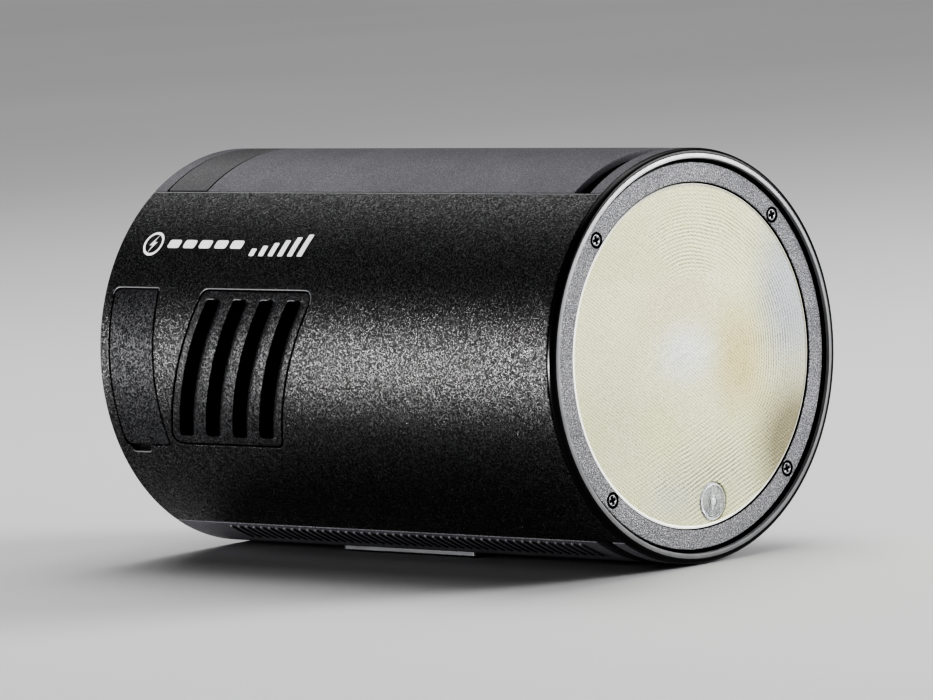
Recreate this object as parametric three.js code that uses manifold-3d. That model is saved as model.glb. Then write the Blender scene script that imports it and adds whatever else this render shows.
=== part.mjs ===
// Pocket battery strobe: a 120 mm long, 76 mm round barrel, a lens at one end and controls at the other.
// Millimetres. +X is the way the light goes, +Z is up, -Y is the side with the vent and the ports.
// The origin is on the barrel's axis, half way along it.
// Angles round the barrel are in degrees from the top, growing towards -Y.

import * as THREE from 'three';
import { mergeVertices } from 'three/addons/utils/BufferGeometryUtils.js';
import Module from 'manifold-3d';

// ---- driving dimensions -------------------------------------------------------------------------

const LENGTH = 120;
const BARREL_R = 38;
const FRONT = LENGTH / 2;
const BACK = -LENGTH / 2;

const WALL = 1.8;
const SHELL_INNER_R = BARREL_R - WALL;
const SHELL_FRONT = FRONT - 1.5;
const SHELL_BACK = BACK + 0.3;
const BAND_HALF = 33.2; // half angle of the smooth top and bottom bands
const SEAM_HALF = 0.2; // half angle of the seams beside them
const LAP_R = 37.15; // the shells step out to this radius where they lap over the front rim
const LAP_BACK = 56.9;

const SLOT_BACK = 51.5; // accessory slots behind the rim, in both bands
const SLOT_FRONT = 55.4;
const SLOT_FLOOR_R = 36.7;

const WINDOW_BACK = -56.2; // sensor window in the top band
const WINDOW_FRONT = -45.3;
const SENSOR_X = -49.85;

const PORT = { back: -57.0, front: -45.1, top: 67.2, bottom: 113.5, thick: 1.1 };
const VENT = { top: 67.5, bottom: 112.5, back: -32.65, width: 29.7, slant: -0.25, inner: 36.3 };
const VENT_SLOT = { count: 4, width: 3.6, pitch: 7.25, margin: 2.15, top: 70.1, bottom: 109.9 };

const RIM = { lipInner: 35.95, lipOuter: 37, pocket: 35.5, skirt: 36, skirtBack: 46, floor: 54.4, bore: 31 };
const LENS = { edgeR: 31.5, flangeR: 32.3, back: 55.4, flange: 57.2, edge: 58.63, crown: 0.75 };
const BEZEL = { inner: 31.75, outer: 35.4, face: 59.0, screwRing: 33.35 };
const LAMP = { ring: 27.3, angle: -83.6, r: 3.6 };
const LAMP_LED = { board: 4.2, base: 2.6, die: 1.6, back: 36.5 };
const GASKET = { inner: 31.2, outer: 32.1, back: 54.5, front: 55.3 };
const REFLECTOR = { bowl: [[9, 34], [20, 36.5], [27.4, 44], [30.6, 54]], wall: 0.2, rise: 0.8 };
const FLASH = { ringR: 6.2, tubeR: 1.6, legs: 25, back: 33, front: 42 };
const TUBE_SOCKET = { r: 8.6, back: 31, front: 35, bore: 1.9, boreBack: 31.5 };

const PLATE = { back: -28, front: 8, halfWidth: 8, top: -35.2, holeR: 5.2 };
const SOCKET = { outer: 5.0, bore: 2.6, top: -33.4 };

const PANEL = { r: 35.9, face: -57.6, inner: -55.6 };
const DISPLAY = { up: 13.5, width: 35, height: 25 };
const DIAL = { up: -14, r: 11, bore: 5.0, well: 11.4, seat: -56.7, floor: -57, sleeve: 3.3, flutes: 12 };
const BUTTON = { r: 3.0, hole: 3.25, top: -58.6 };
const DISPLAY_MODULE = { back: -56.5, front: -53.75, halfWidth: 14.7, halfHeight: 9.7, gap: 0.5 };
const SET = { r: 4.6, top: -59.6, bottom: -58.2, stemR: 1.5 };
const SWITCH = { up: -30, left: -0.6, right: 4.4, halfHeight: 1.8, top: -58.9, hole: 4.7, flange: 1 };
const KEY_SEAT = { front: -54.8, back: -55.4, stop: -55.2, half: 3.6 }; // flanges behind the panel

const BAY_HALF = 34.4; // half angle of the battery opening, seen from the axis
const PACK = { back: -44.4, front: 25.6, floor: 13.4, halfHeight: 20.2, wall: 1.2, top: 29.8 };
const CELL = { r: 9.2, length: 65, y: 24, z: 9.5, pole: 2.8 };
const BAY = { gap: 0.4, wall: 1.2, top: 28.2 };
const CONTACTS = { y0: 17, y1: 21, spots: [-4, -2, 0, 2, 4], halfBlade: 0.5, halfHeight: 5.7 };

const LATCH = { back: 31.2, front: 40.2, halfAngle: 9, travel: 2.5, inner: 35.9, outer: 37.4 };
const LATCH_SPRING = { back: 40.5, front: 45.8, y: 34.2, coilR: 0.9, wireR: 0.22, turns: 4 };
const CAPACITOR = { r: 14, y: -6, z: -19, back: -38, front: 22 };
const BOARD = { back: -41, front: 24, left: 10.5, right: -23, top: -1.6, thick: 1.6 };
const CONTROL_BOARD = { r: 33, back: -53.5, front: -51.9 };
const ENCODER = { half: 6, back: -55.3, front: -53.65, sleeveR: 3.1, sleeveBack: -57.4, bore: 1.8 };
const USB = { x0: -51.75, x1: -48.6, z0: 0.6, z1: 9.4, mouth: -34.8, depth: 7.8, wall: 0.4 };
const JACK = { x: -48.9, z: -7, r: 2.7, bore: 1.75, mouth: -34.8, back: -23, hole: 2.9, plug: 1.4 };
const RADIO = { back: -34, front: -14, half: 9, bottom: 26.2 };
const BEEPER = { r: 4.5, back: -51.75, front: -48.4, y: 10, z: -20 };
const CORE = { back: -5, front: 17, right: -16, left: 6, height: 16, frame: 3.2 }; // transformer core
const SINK = { back: -37, front: -13, right: -21, fins: 6, pitch: 3.4, fin: 1.2, base: 2, height: 14 };
const CHASSIS = { r: 35.7, back: 28.6, front: 30.6, ringBack: -48, ringFront: -46.4, ringBore: 29 };
const FAN = { x: -24.5, front: -33.5, back: -25.5, size: 25, bore: 11.9, hub: 6 };
const FAN_ROTOR = { y: -30.2, half: 2.9, blades: 7, bladeR: 11.3, pitch: 38 };

const RING_STEPS = 36;
const ARC_STEP = 7.5; // degrees
const EPS = 0.15; // running gap between neighbours
const DEEP = 34; // radii just inside and just outside the shells, for tools that cut through them
const CLEAR = 40;

// ---- materials ----------------------------------------------------------------------------------

function paint(color, roughness, metalness = 0) {
  return new THREE.MeshStandardMaterial({ color, roughness, metalness });
}

const grainedPlastic = paint(0x1a1a1d, 0.55);
const satinPlastic = paint(0x3a3a3f, 0.5);
const glossBlack = paint(0x09090a, 0.15);
const rubber = paint(0x222226, 0.75);
const greyMetal = paint(0x77777c, 0.5, 0.8);
const steel = paint(0xb0b0b4, 0.3, 1);
const glass = paint(0xe6e4cc, 0.2);
const mirror = paint(0xdadada, 0.1, 1);
const ceramic = paint(0xe8e6e0, 0.5);
const circuitBoard = paint(0x14502f, 0.6);
const gold = paint(0xd8b15a, 0.3, 1);
const wrap = paint(0x20365a, 0.45);
const aluminium = paint(0x9a9ca0, 0.4, 1);
const darkPlastic = paint(0x161618, 0.6);

// ---- solids and booleans ------------------------------------------------------------------------

const wasm = await Module();
wasm.setup();

/** Six times the volume inside a closed set of triangles, negative when the faces point inward. */
function signedVolume(corners, faces) {
  const a = new THREE.Vector3();
  const b = new THREE.Vector3();
  const c = new THREE.Vector3();
  let total = 0;
  for (let i = 0; i < faces.length; i += 3) {
    a.fromArray(corners, 3 * faces[i]);
    b.fromArray(corners, 3 * faces[i + 1]);
    c.fromArray(corners, 3 * faces[i + 2]);
    total += a.dot(b.cross(c));
  }
  return total;
}

/** A three.js geometry as a manifold solid: corners merged, slivers dropped, faces outward. */
function solid(geometry) {
  const bare = geometry.clone();
  bare.deleteAttribute('normal');
  bare.deleteAttribute('uv');
  const merged = mergeVertices(bare, 1e-4);
  const corners = merged.attributes.position.array;
  const faces = [];
  const index = merged.index.array;
  for (let i = 0; i < index.length; i += 3) {
    const [a, b, c] = [index[i], index[i + 1], index[i + 2]];
    if (a !== b && b !== c && c !== a) faces.push(a, b, c);
  }
  if (signedVolume(corners, faces) < 0) faces.reverse();
  const mesh = new wasm.Mesh({
    numProp: 3,
    vertProperties: Float32Array.from(corners),
    triVerts: Uint32Array.from(faces),
  });
  return new wasm.Manifold(mesh);
}

const join = (...parts) => parts.reduce((whole, part) => whole.add(part));
const cut = (body, ...tools) => tools.reduce((rest, tool) => rest.subtract(tool), body);

/** A named mesh from a manifold solid. */
function mesh(name, body, material) {
  const { numProp, vertProperties, triVerts } = body.getMesh();
  const corners = new Float32Array((vertProperties.length / numProp) * 3);
  for (let i = 0; i < corners.length / 3; i++) {
    for (let k = 0; k < 3; k++) corners[3 * i + k] = vertProperties[numProp * i + k];
  }
  const geometry = new THREE.BufferGeometry();
  geometry.setAttribute('position', new THREE.BufferAttribute(corners, 3));
  geometry.setIndex(new THREE.BufferAttribute(Uint32Array.from(triVerts), 1));
  geometry.computeVertexNormals();
  const piece = new THREE.Mesh(geometry, material);
  piece.name = name;
  return piece;
}

// ---- basic shapes -------------------------------------------------------------------------------

const radians = THREE.MathUtils.degToRad;

/** A box between two corners. */
function box(x0, x1, y0, y1, z0, z1) {
  const geometry = new THREE.BoxGeometry(x1 - x0, y1 - y0, z1 - z0);
  return solid(geometry.translate((x0 + x1) / 2, (y0 + y1) / 2, (z0 + z1) / 2));
}

/** Turn a geometry whose axis is Y so that its axis is X, Y or Z. */
function layAlong(axis, geometry) {
  if (axis === 'x') geometry.rotateZ(-Math.PI / 2);
  if (axis === 'z') geometry.rotateX(Math.PI / 2);
  return geometry;
}

/** A round bar along an axis, from one station to another, centred on [u, v] in the other two axes. */
function bar(axis, r, from, to, [u, v] = [0, 0], steps = 24) {
  const geometry = layAlong(axis, new THREE.CylinderGeometry(r, r, to - from, steps));
  const middle = (from + to) / 2;
  const place = { x: [middle, u, v], y: [u, middle, v], z: [u, v, middle] }[axis];
  return solid(geometry.translate(...place));
}

/** A body of revolution about X from [radius, x] points; the profile closes on itself. */
function turned(profile, steps = RING_STEPS) {
  const points = [...profile, profile[0]].map(([r, x]) => new THREE.Vector2(r, x));
  return solid(layAlong('x', new THREE.LatheGeometry(points, steps)));
}

/** A curved slab round X between stations, angles and radii; slant shifts it along X per degree. */
function arcSlab(x0, x1, angle0, angle1, r0, r1, slant = 0) {
  const steps = Math.max(1, Math.ceil((angle1 - angle0) / ARC_STEP / 2) * 2);
  const geometry = new THREE.BoxGeometry(1, 1, 1, 1, steps, 1);
  const place = geometry.attributes.position;
  for (let i = 0; i < place.count; i++) {
    const turn = (place.getY(i) + 0.5) * (angle1 - angle0);
    const r = place.getZ(i) < 0 ? r0 : r1;
    const x = (place.getX(i) < 0 ? x0 : x1) + slant * turn;
    const angle = radians(angle0 + turn);
    place.setXYZ(i, x, -r * Math.sin(angle), r * Math.cos(angle));
  }
  return solid(geometry);
}

/** A point on the barrel: [y, z] at an angle from the top and a radius. */
const onBarrel = (angle, r) => [-r * Math.sin(radians(angle)), r * Math.cos(radians(angle))];

/** A flat section carried along a curve. */
function sweep(section, extrudePath, steps, curveSegments) {
  const options = { extrudePath, steps, curveSegments, bevelEnabled: false };
  return solid(new THREE.ExtrudeGeometry(section, options));
}

// ---- front end ----------------------------------------------------------------------------------

const screwAngles = [45, 135, 225, 315];

function frontRim() {
  const roundSteps = 2;
  const edge = [];
  for (let i = 0; i <= roundSteps; i++) {
    const turn = (i / roundSteps) * (Math.PI / 2);
    edge.push([RIM.lipOuter + Math.sin(turn), FRONT - 1 + Math.cos(turn)]);
  }
  const body = turned([
    [RIM.lipInner, FRONT],
    ...edge,
    [BARREL_R, SHELL_FRONT + EPS],
    [LAP_R - EPS, SHELL_FRONT + EPS],
    [LAP_R - EPS, LAP_BACK + EPS],
    [RIM.skirt, LAP_BACK + EPS],
    [RIM.skirt, RIM.skirtBack],
    [RIM.skirt - 1, RIM.skirtBack],
    [RIM.skirt - 1, RIM.floor - 1.8],
    [RIM.bore, RIM.floor - 1.8],
    [RIM.bore, RIM.floor],
    [RIM.pocket, RIM.floor],
    [RIM.pocket, LAP_BACK + 0.7],
    [RIM.lipInner, LAP_BACK + 1.3],
  ]);
  const pilots = screwAngles.map((angle) => bar('x', 0.75, 52, 55, onBarrel(angle, BEZEL.screwRing), 8));
  return cut(body, ...pilots);
}

function lensBezel() {
  const body = turned([
    [BEZEL.inner, BEZEL.face - 0.2],
    [BEZEL.inner + 0.2, BEZEL.face],
    [BEZEL.outer - 0.2, BEZEL.face],
    [BEZEL.outer, BEZEL.face - 0.2],
    [BEZEL.outer, RIM.floor + EPS],
    [LENS.flangeR + 0.2, RIM.floor + EPS],
    [LENS.flangeR + 0.2, LENS.flange + EPS],
    [BEZEL.inner, LENS.flange + EPS],
  ]);
  const holes = screwAngles.flatMap((angle) => {
    const centre = onBarrel(angle, BEZEL.screwRing);
    return [
      bar('x', 1.3, BEZEL.face - 1.1, BEZEL.face + 1, centre, 12),
      bar('x', 0.8, RIM.floor - 1, BEZEL.face, centre, 8),
    ];
  });
  return cut(body, ...holes);
}

/** A cross-head screw on the X axis with its head's face at x = 0. */
function crossScrew(headR, headHeight, shankR, length) {
  const recess = [0, 90].map((angle) => {
    const blade = box(-headHeight * 0.6, 1, -headR * 0.62, headR * 0.62, -headR * 0.16, headR * 0.16);
    return blade.rotate([angle, 0, 0]);
  });
  const head = bar('x', headR, -headHeight, 0, [0, 0], 12);
  const shank = bar('x', shankR, -length, -headHeight / 2, [0, 0], 6);
  return cut(join(head, shank), ...recess);
}

function frontLens() {
  const rings = 3;
  const dome = [];
  for (let i = 0; i <= rings; i++) {
    const r = LENS.edgeR * (1 - i / rings);
    dome.push([r, LENS.edge + LENS.crown * (1 - (r / LENS.edgeR) ** 2)]);
  }
  const body = turned([
    [0, LENS.back],
    [LENS.flangeR, LENS.back],
    [LENS.flangeR, LENS.flange],
    [LENS.edgeR, LENS.flange],
    ...dome,
  ]);
  return cut(body, bar('x', LAMP.r + EPS, LENS.back - 1, FRONT + 1, lampCentre()));
}

function lampCentre() {
  const turn = radians(LAMP.angle);
  return [LAMP.ring * Math.cos(turn), LAMP.ring * Math.sin(turn)];
}

/** The small clear lens over the modelling lamp, on the X axis. */
function lampLens() {
  const steps = 2;
  const dome = [];
  for (let i = 0; i <= steps; i++) {
    const r = LAMP.r * (1 - i / steps);
    dome.push([r, LENS.edge + 0.25 + 0.5 * (1 - (r / LAMP.r) ** 2)]);
  }
  return turned([[0, LENS.back], [LAMP.r, LENS.back], ...dome], 16);
}

const lensGasket = () => turned([
  [GASKET.inner, GASKET.back],
  [GASKET.outer, GASKET.back],
  [GASKET.outer, GASKET.front],
  [GASKET.inner, GASKET.front],
], 30);

function reflector() {
  const inside = REFLECTOR.bowl.map(([r, x]) => [r - REFLECTOR.wall, x + REFLECTOR.rise]);
  const body = turned([...REFLECTOR.bowl, ...inside.reverse()], 30);
  return cut(body, bar('x', LAMP.r + 1.2, 30, FRONT, lampCentre()));
}

/** A glass ring tube with an opening at the bottom; its legs run back into the socket. */
function flashTube() {
  const { ringR, tubeR, back, front } = FLASH;
  const arcSteps = 12;
  const legs = radians(FLASH.legs);
  const at = (x, turn) => new THREE.Vector3(x, ringR * Math.sin(turn), -ringR * Math.cos(turn));
  const points = [at(back, legs)];
  for (let i = 0; i <= arcSteps; i++) {
    points.push(at(front, legs + (i / arcSteps) * (2 * Math.PI - 2 * legs)));
  }
  points.push(at(back, -legs));
  const path = new THREE.CatmullRomCurve3(points, false, 'centripetal');
  const section = new THREE.Shape().absarc(0, 0, tubeR, 0, 2 * Math.PI);
  return sweep(section, path, 22, 4);
}

function tubeSocket() {
  const legs = radians(FLASH.legs);
  const bores = [-1, 1].map((side) => {
    const centre = [side * FLASH.ringR * Math.sin(legs), -FLASH.ringR * Math.cos(legs)];
    return bar('x', TUBE_SOCKET.bore, TUBE_SOCKET.boreBack, FLASH.front, centre, 12);
  });
  return cut(bar('x', TUBE_SOCKET.r, TUBE_SOCKET.back, TUBE_SOCKET.front, [0, 0], 28), ...bores);
}

const lampBoard = () => bar('x', LAMP_LED.board, LAMP_LED.back, LAMP_LED.back + 1.1, [0, 0], 20);

const lampEmitter = () => join(
  bar('x', LAMP_LED.base, LAMP_LED.back + 1.3, LAMP_LED.back + 2.1, [0, 0], 16),
  bar('x', LAMP_LED.die, LAMP_LED.back + 2, LAMP_LED.back + 2.9, [0, 0], 12),
);

// ---- barrel -------------------------------------------------------------------------------------

const lapRing = () => bar('x', LAP_R, LAP_BACK, FRONT, [0, 0], RING_STEPS);

/** One of the smooth bands: the accessory slot near its front is cut in its outer face. */
function band(centre) {
  const half = BAND_HALF - SEAM_HALF;
  const body = arcSlab(SHELL_BACK, SHELL_FRONT, centre - half, centre + half, SHELL_INNER_R, BARREL_R);
  const reach = BAND_HALF + 2;
  const slot = arcSlab(SLOT_BACK, SLOT_FRONT, centre - reach, centre + reach, SLOT_FLOOR_R, CLEAR);
  return cut(body, lapRing(), slot);
}

function topCover() {
  const reach = BAND_HALF + 2;
  const recess = arcSlab(WINDOW_BACK, WINDOW_FRONT, -reach, reach, BARREL_R - 1 - EPS, CLEAR);
  const sensorEye = bar('z', 2.2, DEEP, CLEAR, [SENSOR_X, 0], 12);
  return cut(band(0), recess, sensorEye);
}

const sensorWindow = () => {
  const half = BAND_HALF - SEAM_HALF;
  return arcSlab(WINDOW_BACK + EPS, WINDOW_FRONT - EPS, -half, half, BARREL_R - 1, BARREL_R);
};

function bottomCover() {
  const gap = 0.3;
  const half = PLATE.halfWidth + gap;
  return cut(band(180), box(PLATE.back - gap, PLATE.front + gap, -half, half, -CLEAR, -DEEP));
}

const sideShell = (from, to) => arcSlab(SHELL_BACK, SHELL_FRONT, from, to, SHELL_INNER_R, BARREL_R);
const SIDE_TOP = BAND_HALF + SEAM_HALF;
const SIDE_BOTTOM = 180 - SIDE_TOP;

function rightSideShell() {
  const gap = 0.3;
  const ventHeight = [VENT.top - gap, VENT.bottom + gap];
  const ventBack = VENT.back - gap;
  const vent = arcSlab(ventBack, ventBack + VENT.width + 2 * gap, ...ventHeight, DEEP, CLEAR, VENT.slant);
  const portFloor = BARREL_R - PORT.thick - 0.1;
  const portX = [PORT.back - EPS, PORT.front + EPS];
  const portRecess = arcSlab(...portX, PORT.top, PORT.bottom + gap, portFloor, CLEAR);
  const usbHole = box(USB.x0 - EPS, USB.x1 + 0.2, -CLEAR, -30, USB.z0 - gap, USB.z1 + gap);
  const jackHole = bar('y', JACK.hole, -CLEAR, -30, [JACK.x, JACK.z], 14);
  return cut(sideShell(SIDE_TOP, SIDE_BOTTOM), lapRing(), vent, portRecess, usbHole, jackHole);
}

function ventGrille() {
  const { back: frameBack, width, top, bottom, inner, slant } = VENT;
  const frame = arcSlab(frameBack, frameBack + width, top, bottom, inner, BARREL_R - 0.1, slant);
  const slots = Array.from({ length: VENT_SLOT.count }, (_, i) => {
    const back = frameBack + VENT_SLOT.margin + i * VENT_SLOT.pitch + slant * (VENT_SLOT.top - top);
    return arcSlab(back, back + VENT_SLOT.width, VENT_SLOT.top, VENT_SLOT.bottom, DEEP, CLEAR, slant);
  });
  return cut(frame, ...slots);
}

/** The rubber flap over the ports: a curved leaf with a plug for each socket. */
function portCover() {
  const leaf = arcSlab(PORT.back, PORT.front, PORT.top + 0.2, PORT.bottom, BARREL_R - PORT.thick, BARREL_R);
  const usbPlug = box(USB.x0 + 0.65, USB.x1 - 0.6, -37.4, USB.mouth - 0.6, USB.z0 + 1, USB.z1 - 1);
  const jackPlug = bar('y', JACK.plug, -37.2, JACK.mouth - 0.4, [JACK.x, JACK.z], 12);
  return join(leaf, usbPlug, jackPlug);
}

function leftSideShell() {
  const opening = arcSlab(PACK.back - 0.6, PACK.front + 0.6, -90 - BAY_HALF, -90 + BAY_HALF, DEEP, CLEAR);
  const half = LATCH.halfAngle + 0.5;
  const latchFront = LATCH.front + LATCH.travel + 0.6;
  const latchWindow = arcSlab(LATCH.back - 0.4, latchFront, -90 - half, -90 + half, DEEP, CLEAR);
  return cut(sideShell(-SIDE_BOTTOM, -SIDE_TOP), lapRing(), opening, latchWindow);
}

function socketPlate() {
  const body = box(PLATE.back, PLATE.front, -PLATE.halfWidth, PLATE.halfWidth, -BARREL_R, PLATE.top);
  const hole = bar('z', PLATE.holeR, -CLEAR, -DEEP, [socketX, 0], 24);
  const sinks = plateScrewX.map((x) => bar('z', 1.8, -CLEAR, -BARREL_R + 1.1, [x, 0], 12));
  const shanks = plateScrewX.map((x) => bar('z', 1.0, -CLEAR, -DEEP, [x, 0], 8));
  return cut(body, hole, ...sinks, ...shanks);
}

const socketX = (PLATE.back + PLATE.front) / 2;
const plateScrewX = [PLATE.back + 4.5, PLATE.front - 4.5];

const standSocket = () => cut(
  bar('z', SOCKET.outer, -BARREL_R, SOCKET.top, [socketX, 0], 24),
  bar('z', SOCKET.bore, -CLEAR, SOCKET.top - 0.8, [socketX, 0], 16),
);

// ---- rear panel ---------------------------------------------------------------------------------

const panelButtons = [
  ['lamp_button', 24, 6],
  ['mode_button', 20.8, -7],
  ['group_button', 18.6, -19.5],
  ['test_button', -24, 6],
  ['wireless_button', -20.8, -7],
  ['menu_button', -18.6, -19.5],
];

function rearPanel() {
  const body = turned([
    [0, PANEL.inner],
    [34.4, PANEL.inner],
    [34.4, PANEL.inner + 0.8],
    [PANEL.r, PANEL.inner + 0.8],
    [PANEL.r, PANEL.face],
    [0, PANEL.face],
  ]);
  const w = DISPLAY.width / 2 + EPS;
  const h = DISPLAY.height / 2 + EPS;
  const displaySeat = box(BACK, PANEL.face + 1, -w, w, DISPLAY.up - h, DISPLAY.up + h);
  const moduleW = DISPLAY_MODULE.halfWidth + DISPLAY_MODULE.gap;
  const moduleH = DISPLAY_MODULE.halfHeight + DISPLAY_MODULE.gap;
  const through = PANEL.inner + 1;
  const displayHole = box(BACK, through, -moduleW, moduleW, DISPLAY.up - moduleH, DISPLAY.up + moduleH);
  const dialWell = bar('x', DIAL.well, BACK, DIAL.seat, [0, DIAL.up], 30);
  const dialHole = bar('x', ENCODER.sleeveR + 0.5, BACK, through, [0, DIAL.up], 14);
  const holes = panelButtons.map(([, y, z]) => bar('x', BUTTON.hole, BACK, through, [y, z], 14));
  const slotHalf = SWITCH.halfHeight + 0.3;
  const slot = box(BACK, through, -SWITCH.hole, SWITCH.hole, SWITCH.up - slotHalf, SWITCH.up + slotHalf);
  return cut(body, displaySeat, displayHole, dialWell, dialHole, slot, ...holes);
}

function displayWindow() {
  const w = DISPLAY.width / 2;
  const h = DISPLAY.height / 2;
  return box(PANEL.face + 0.05, PANEL.face + 0.9, -w, w, DISPLAY.up - h, DISPLAY.up + h);
}

function displayModule() {
  const { back, front, halfWidth, halfHeight } = DISPLAY_MODULE;
  return box(back, front, -halfWidth, halfWidth, DISPLAY.up - halfHeight, DISPLAY.up + halfHeight);
}

/** The dial on the X axis: a knurled ring with a floor that grips the encoder's sleeve. */
function selectDial() {
  const body = turned([
    [DIAL.bore, BACK + 0.2],
    [DIAL.r - 0.8, BACK],
    [DIAL.r, BACK + 0.8],
    [DIAL.r, DIAL.floor],
    [DIAL.sleeve, DIAL.floor],
    [DIAL.sleeve, DIAL.floor - 0.5],
    [DIAL.bore, DIAL.floor - 0.5],
  ], 32);
  const fluteRing = DIAL.r + 0.2;
  const flutes = Array.from({ length: DIAL.flutes }, (_, i) => {
    const turn = (i / DIAL.flutes) * 2 * Math.PI;
    const centre = [fluteRing * Math.cos(turn), fluteRing * Math.sin(turn)];
    return bar('x', 0.6, BACK - 1, DIAL.floor - 0.8, centre, 6);
  });
  return cut(body, ...flutes);
}

const setButton = () => join(
  bar('x', SET.r, SET.top, SET.bottom, [0, 0], 20),
  bar('x', SET.stemR, SET.bottom - 0.3, KEY_SEAT.stop, [0, 0], 8),
);

/** A panel button on the X axis: a cap, and a flange that stops it inside the panel. */
const panelButton = () => join(
  bar('x', BUTTON.r, BUTTON.top, KEY_SEAT.stop, [0, 0], 14),
  box(KEY_SEAT.back, KEY_SEAT.front, -KEY_SEAT.half, KEY_SEAT.half, -KEY_SEAT.half, KEY_SEAT.half),
);

/** The slide switch's knob, at the end of its travel towards +Y. */
function powerSwitch() {
  const { up, left, right, halfHeight, top, flange } = SWITCH;
  const flangeHalf = halfHeight + 1.2;
  return join(
    box(top, KEY_SEAT.stop, left, right, up - halfHeight, up + halfHeight),
    box(KEY_SEAT.back, KEY_SEAT.front, left - flange, right + flange, up - flangeHalf, up + flangeHalf),
  );
}

// ---- electronics --------------------------------------------------------------------------------

const controlBoard = () => cut(
  bar('x', CONTROL_BOARD.r, CONTROL_BOARD.back, CONTROL_BOARD.front, [0, 0], 30),
  bar('x', ENCODER.bore, CONTROL_BOARD.back - 1, CONTROL_BOARD.front + 1, [0, DIAL.up], 10),
);

function dialEncoder() {
  const { half, back, front, sleeveR, sleeveBack, bore } = ENCODER;
  const body = box(back, front, -half, half, DIAL.up - half, DIAL.up + half);
  const sleeve = bar('x', sleeveR, sleeveBack, back + 0.1, [0, DIAL.up], 14);
  return cut(join(body, sleeve), bar('x', bore, BACK, front + 1, [0, DIAL.up], 12));
}

function usbPort() {
  const { x0, x1, z0, z1, mouth, depth, wall } = USB;
  const inside = box(x0 + wall, x1 - wall, mouth - 1, mouth + depth - 1, z0 + wall, z1 - wall);
  return cut(box(x0, x1, mouth, mouth + depth, z0, z1), inside);
}

const syncJack = () => cut(
  bar('y', JACK.r, JACK.mouth, JACK.back, [JACK.x, JACK.z], 14),
  bar('y', JACK.bore, JACK.mouth - 1, JACK.back - 1, [JACK.x, JACK.z], 12),
);

/** The light sensor under the window: a body and a round eye that looks up. */
const lightSensor = () => join(
  box(SENSOR_X - 1.5, SENSOR_X + 1.5, -3, 3, 30, 33),
  bar('z', 1.4, 32.8, 35.4, [SENSOR_X, 0], 12),
);

/** A small board with a shielding can on it. */
function radioModule() {
  const { back, front, half, bottom } = RADIO;
  const top = bottom + 1;
  const can = box(back + 2, front - 4, 2 - half, half - 2, top - 0.2, top + 2);
  return join(box(back, front, -half, half, bottom, top), can);
}

const beeper = () => bar('x', BEEPER.r, BEEPER.back, BEEPER.front, [BEEPER.y, BEEPER.z], 16);

const mainCapacitor = () => join(
  bar('x', CAPACITOR.r, CAPACITOR.back, CAPACITOR.front, [CAPACITOR.y, CAPACITOR.z], 24),
  bar('x', 1, CAPACITOR.front - 1, CAPACITOR.front + 3, [CAPACITOR.y - 5, CAPACITOR.z], 8),
  bar('x', 1, CAPACITOR.front - 1, CAPACITOR.front + 3, [CAPACITOR.y + 5, CAPACITOR.z], 8),
);

function powerBoard() {
  const { back, front, left, right, top, thick } = BOARD;
  return box(back, front, right, left, top - thick, top);
}

/** A core frame with a middle leg and a winding round it. */
function transformer() {
  const { back, front, right, left, height, frame } = CORE;
  const z = BOARD.top + EPS;
  const window = box(back + frame, front - frame, right - 1, left + 1, z + frame, z + height - frame);
  const core = cut(box(back, front, right, left, z, z + height), window);
  const middle = (back + front) / 2;
  const leg = box(middle - 3, middle + 3, right + 2, left - 2, z + 2, z + height - 2);
  const winding = box(middle - 7, middle + 7, right + 3.5, left - 3.5, z + 4, z + height - 4);
  return join(core, leg, winding);
}

function heatSink() {
  const { back, front, right, fins, pitch, fin, base, height } = SINK;
  const z = BOARD.top + EPS;
  const blades = Array.from({ length: fins }, (_, i) => {
    const start = right + pitch * i;
    return box(back, front, start, start + fin, z + base, z + height);
  });
  return join(box(back, front, right, right + pitch * (fins - 1) + fin, z, z + base + 0.1), ...blades);
}

function fanFrame() {
  const half = FAN.size / 2;
  const frame = cut(
    box(FAN.x - half, FAN.x + half, FAN.front, FAN.back, -half, half),
    bar('y', FAN.bore, FAN.front - 1, FAN.back + 1, [FAN.x, 0], 28),
  );
  const struts = [0, 120, 240].map((angle) => {
    const strut = box(0, FAN.bore + 0.3, FAN.back - 1.2, FAN.back, -0.8, 0.8);
    return strut.rotate([0, angle, 0]).translate([FAN.x, 0, 0]);
  });
  return join(frame, bar('y', FAN.hub, FAN.back - 1.2, FAN.back, [FAN.x, 0], 14), ...struts);
}

/** The fan's rotor on the Y axis: a hub and tilted blades. */
function fanRotor() {
  const { half, blades, bladeR, pitch } = FAN_ROTOR;
  const swept = Array.from({ length: blades }, (_, i) => {
    const blade = box(FAN.hub - 0.6, bladeR, -2.4, 2.4, -0.5, 0.5).rotate([pitch, 0, 0]);
    return blade.rotate([0, (i * 360) / blades, 0]);
  });
  return join(bar('y', FAN.hub, -half, half, [0, 0], 16), ...swept);
}

// ---- chassis and battery ------------------------------------------------------------------------

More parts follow.
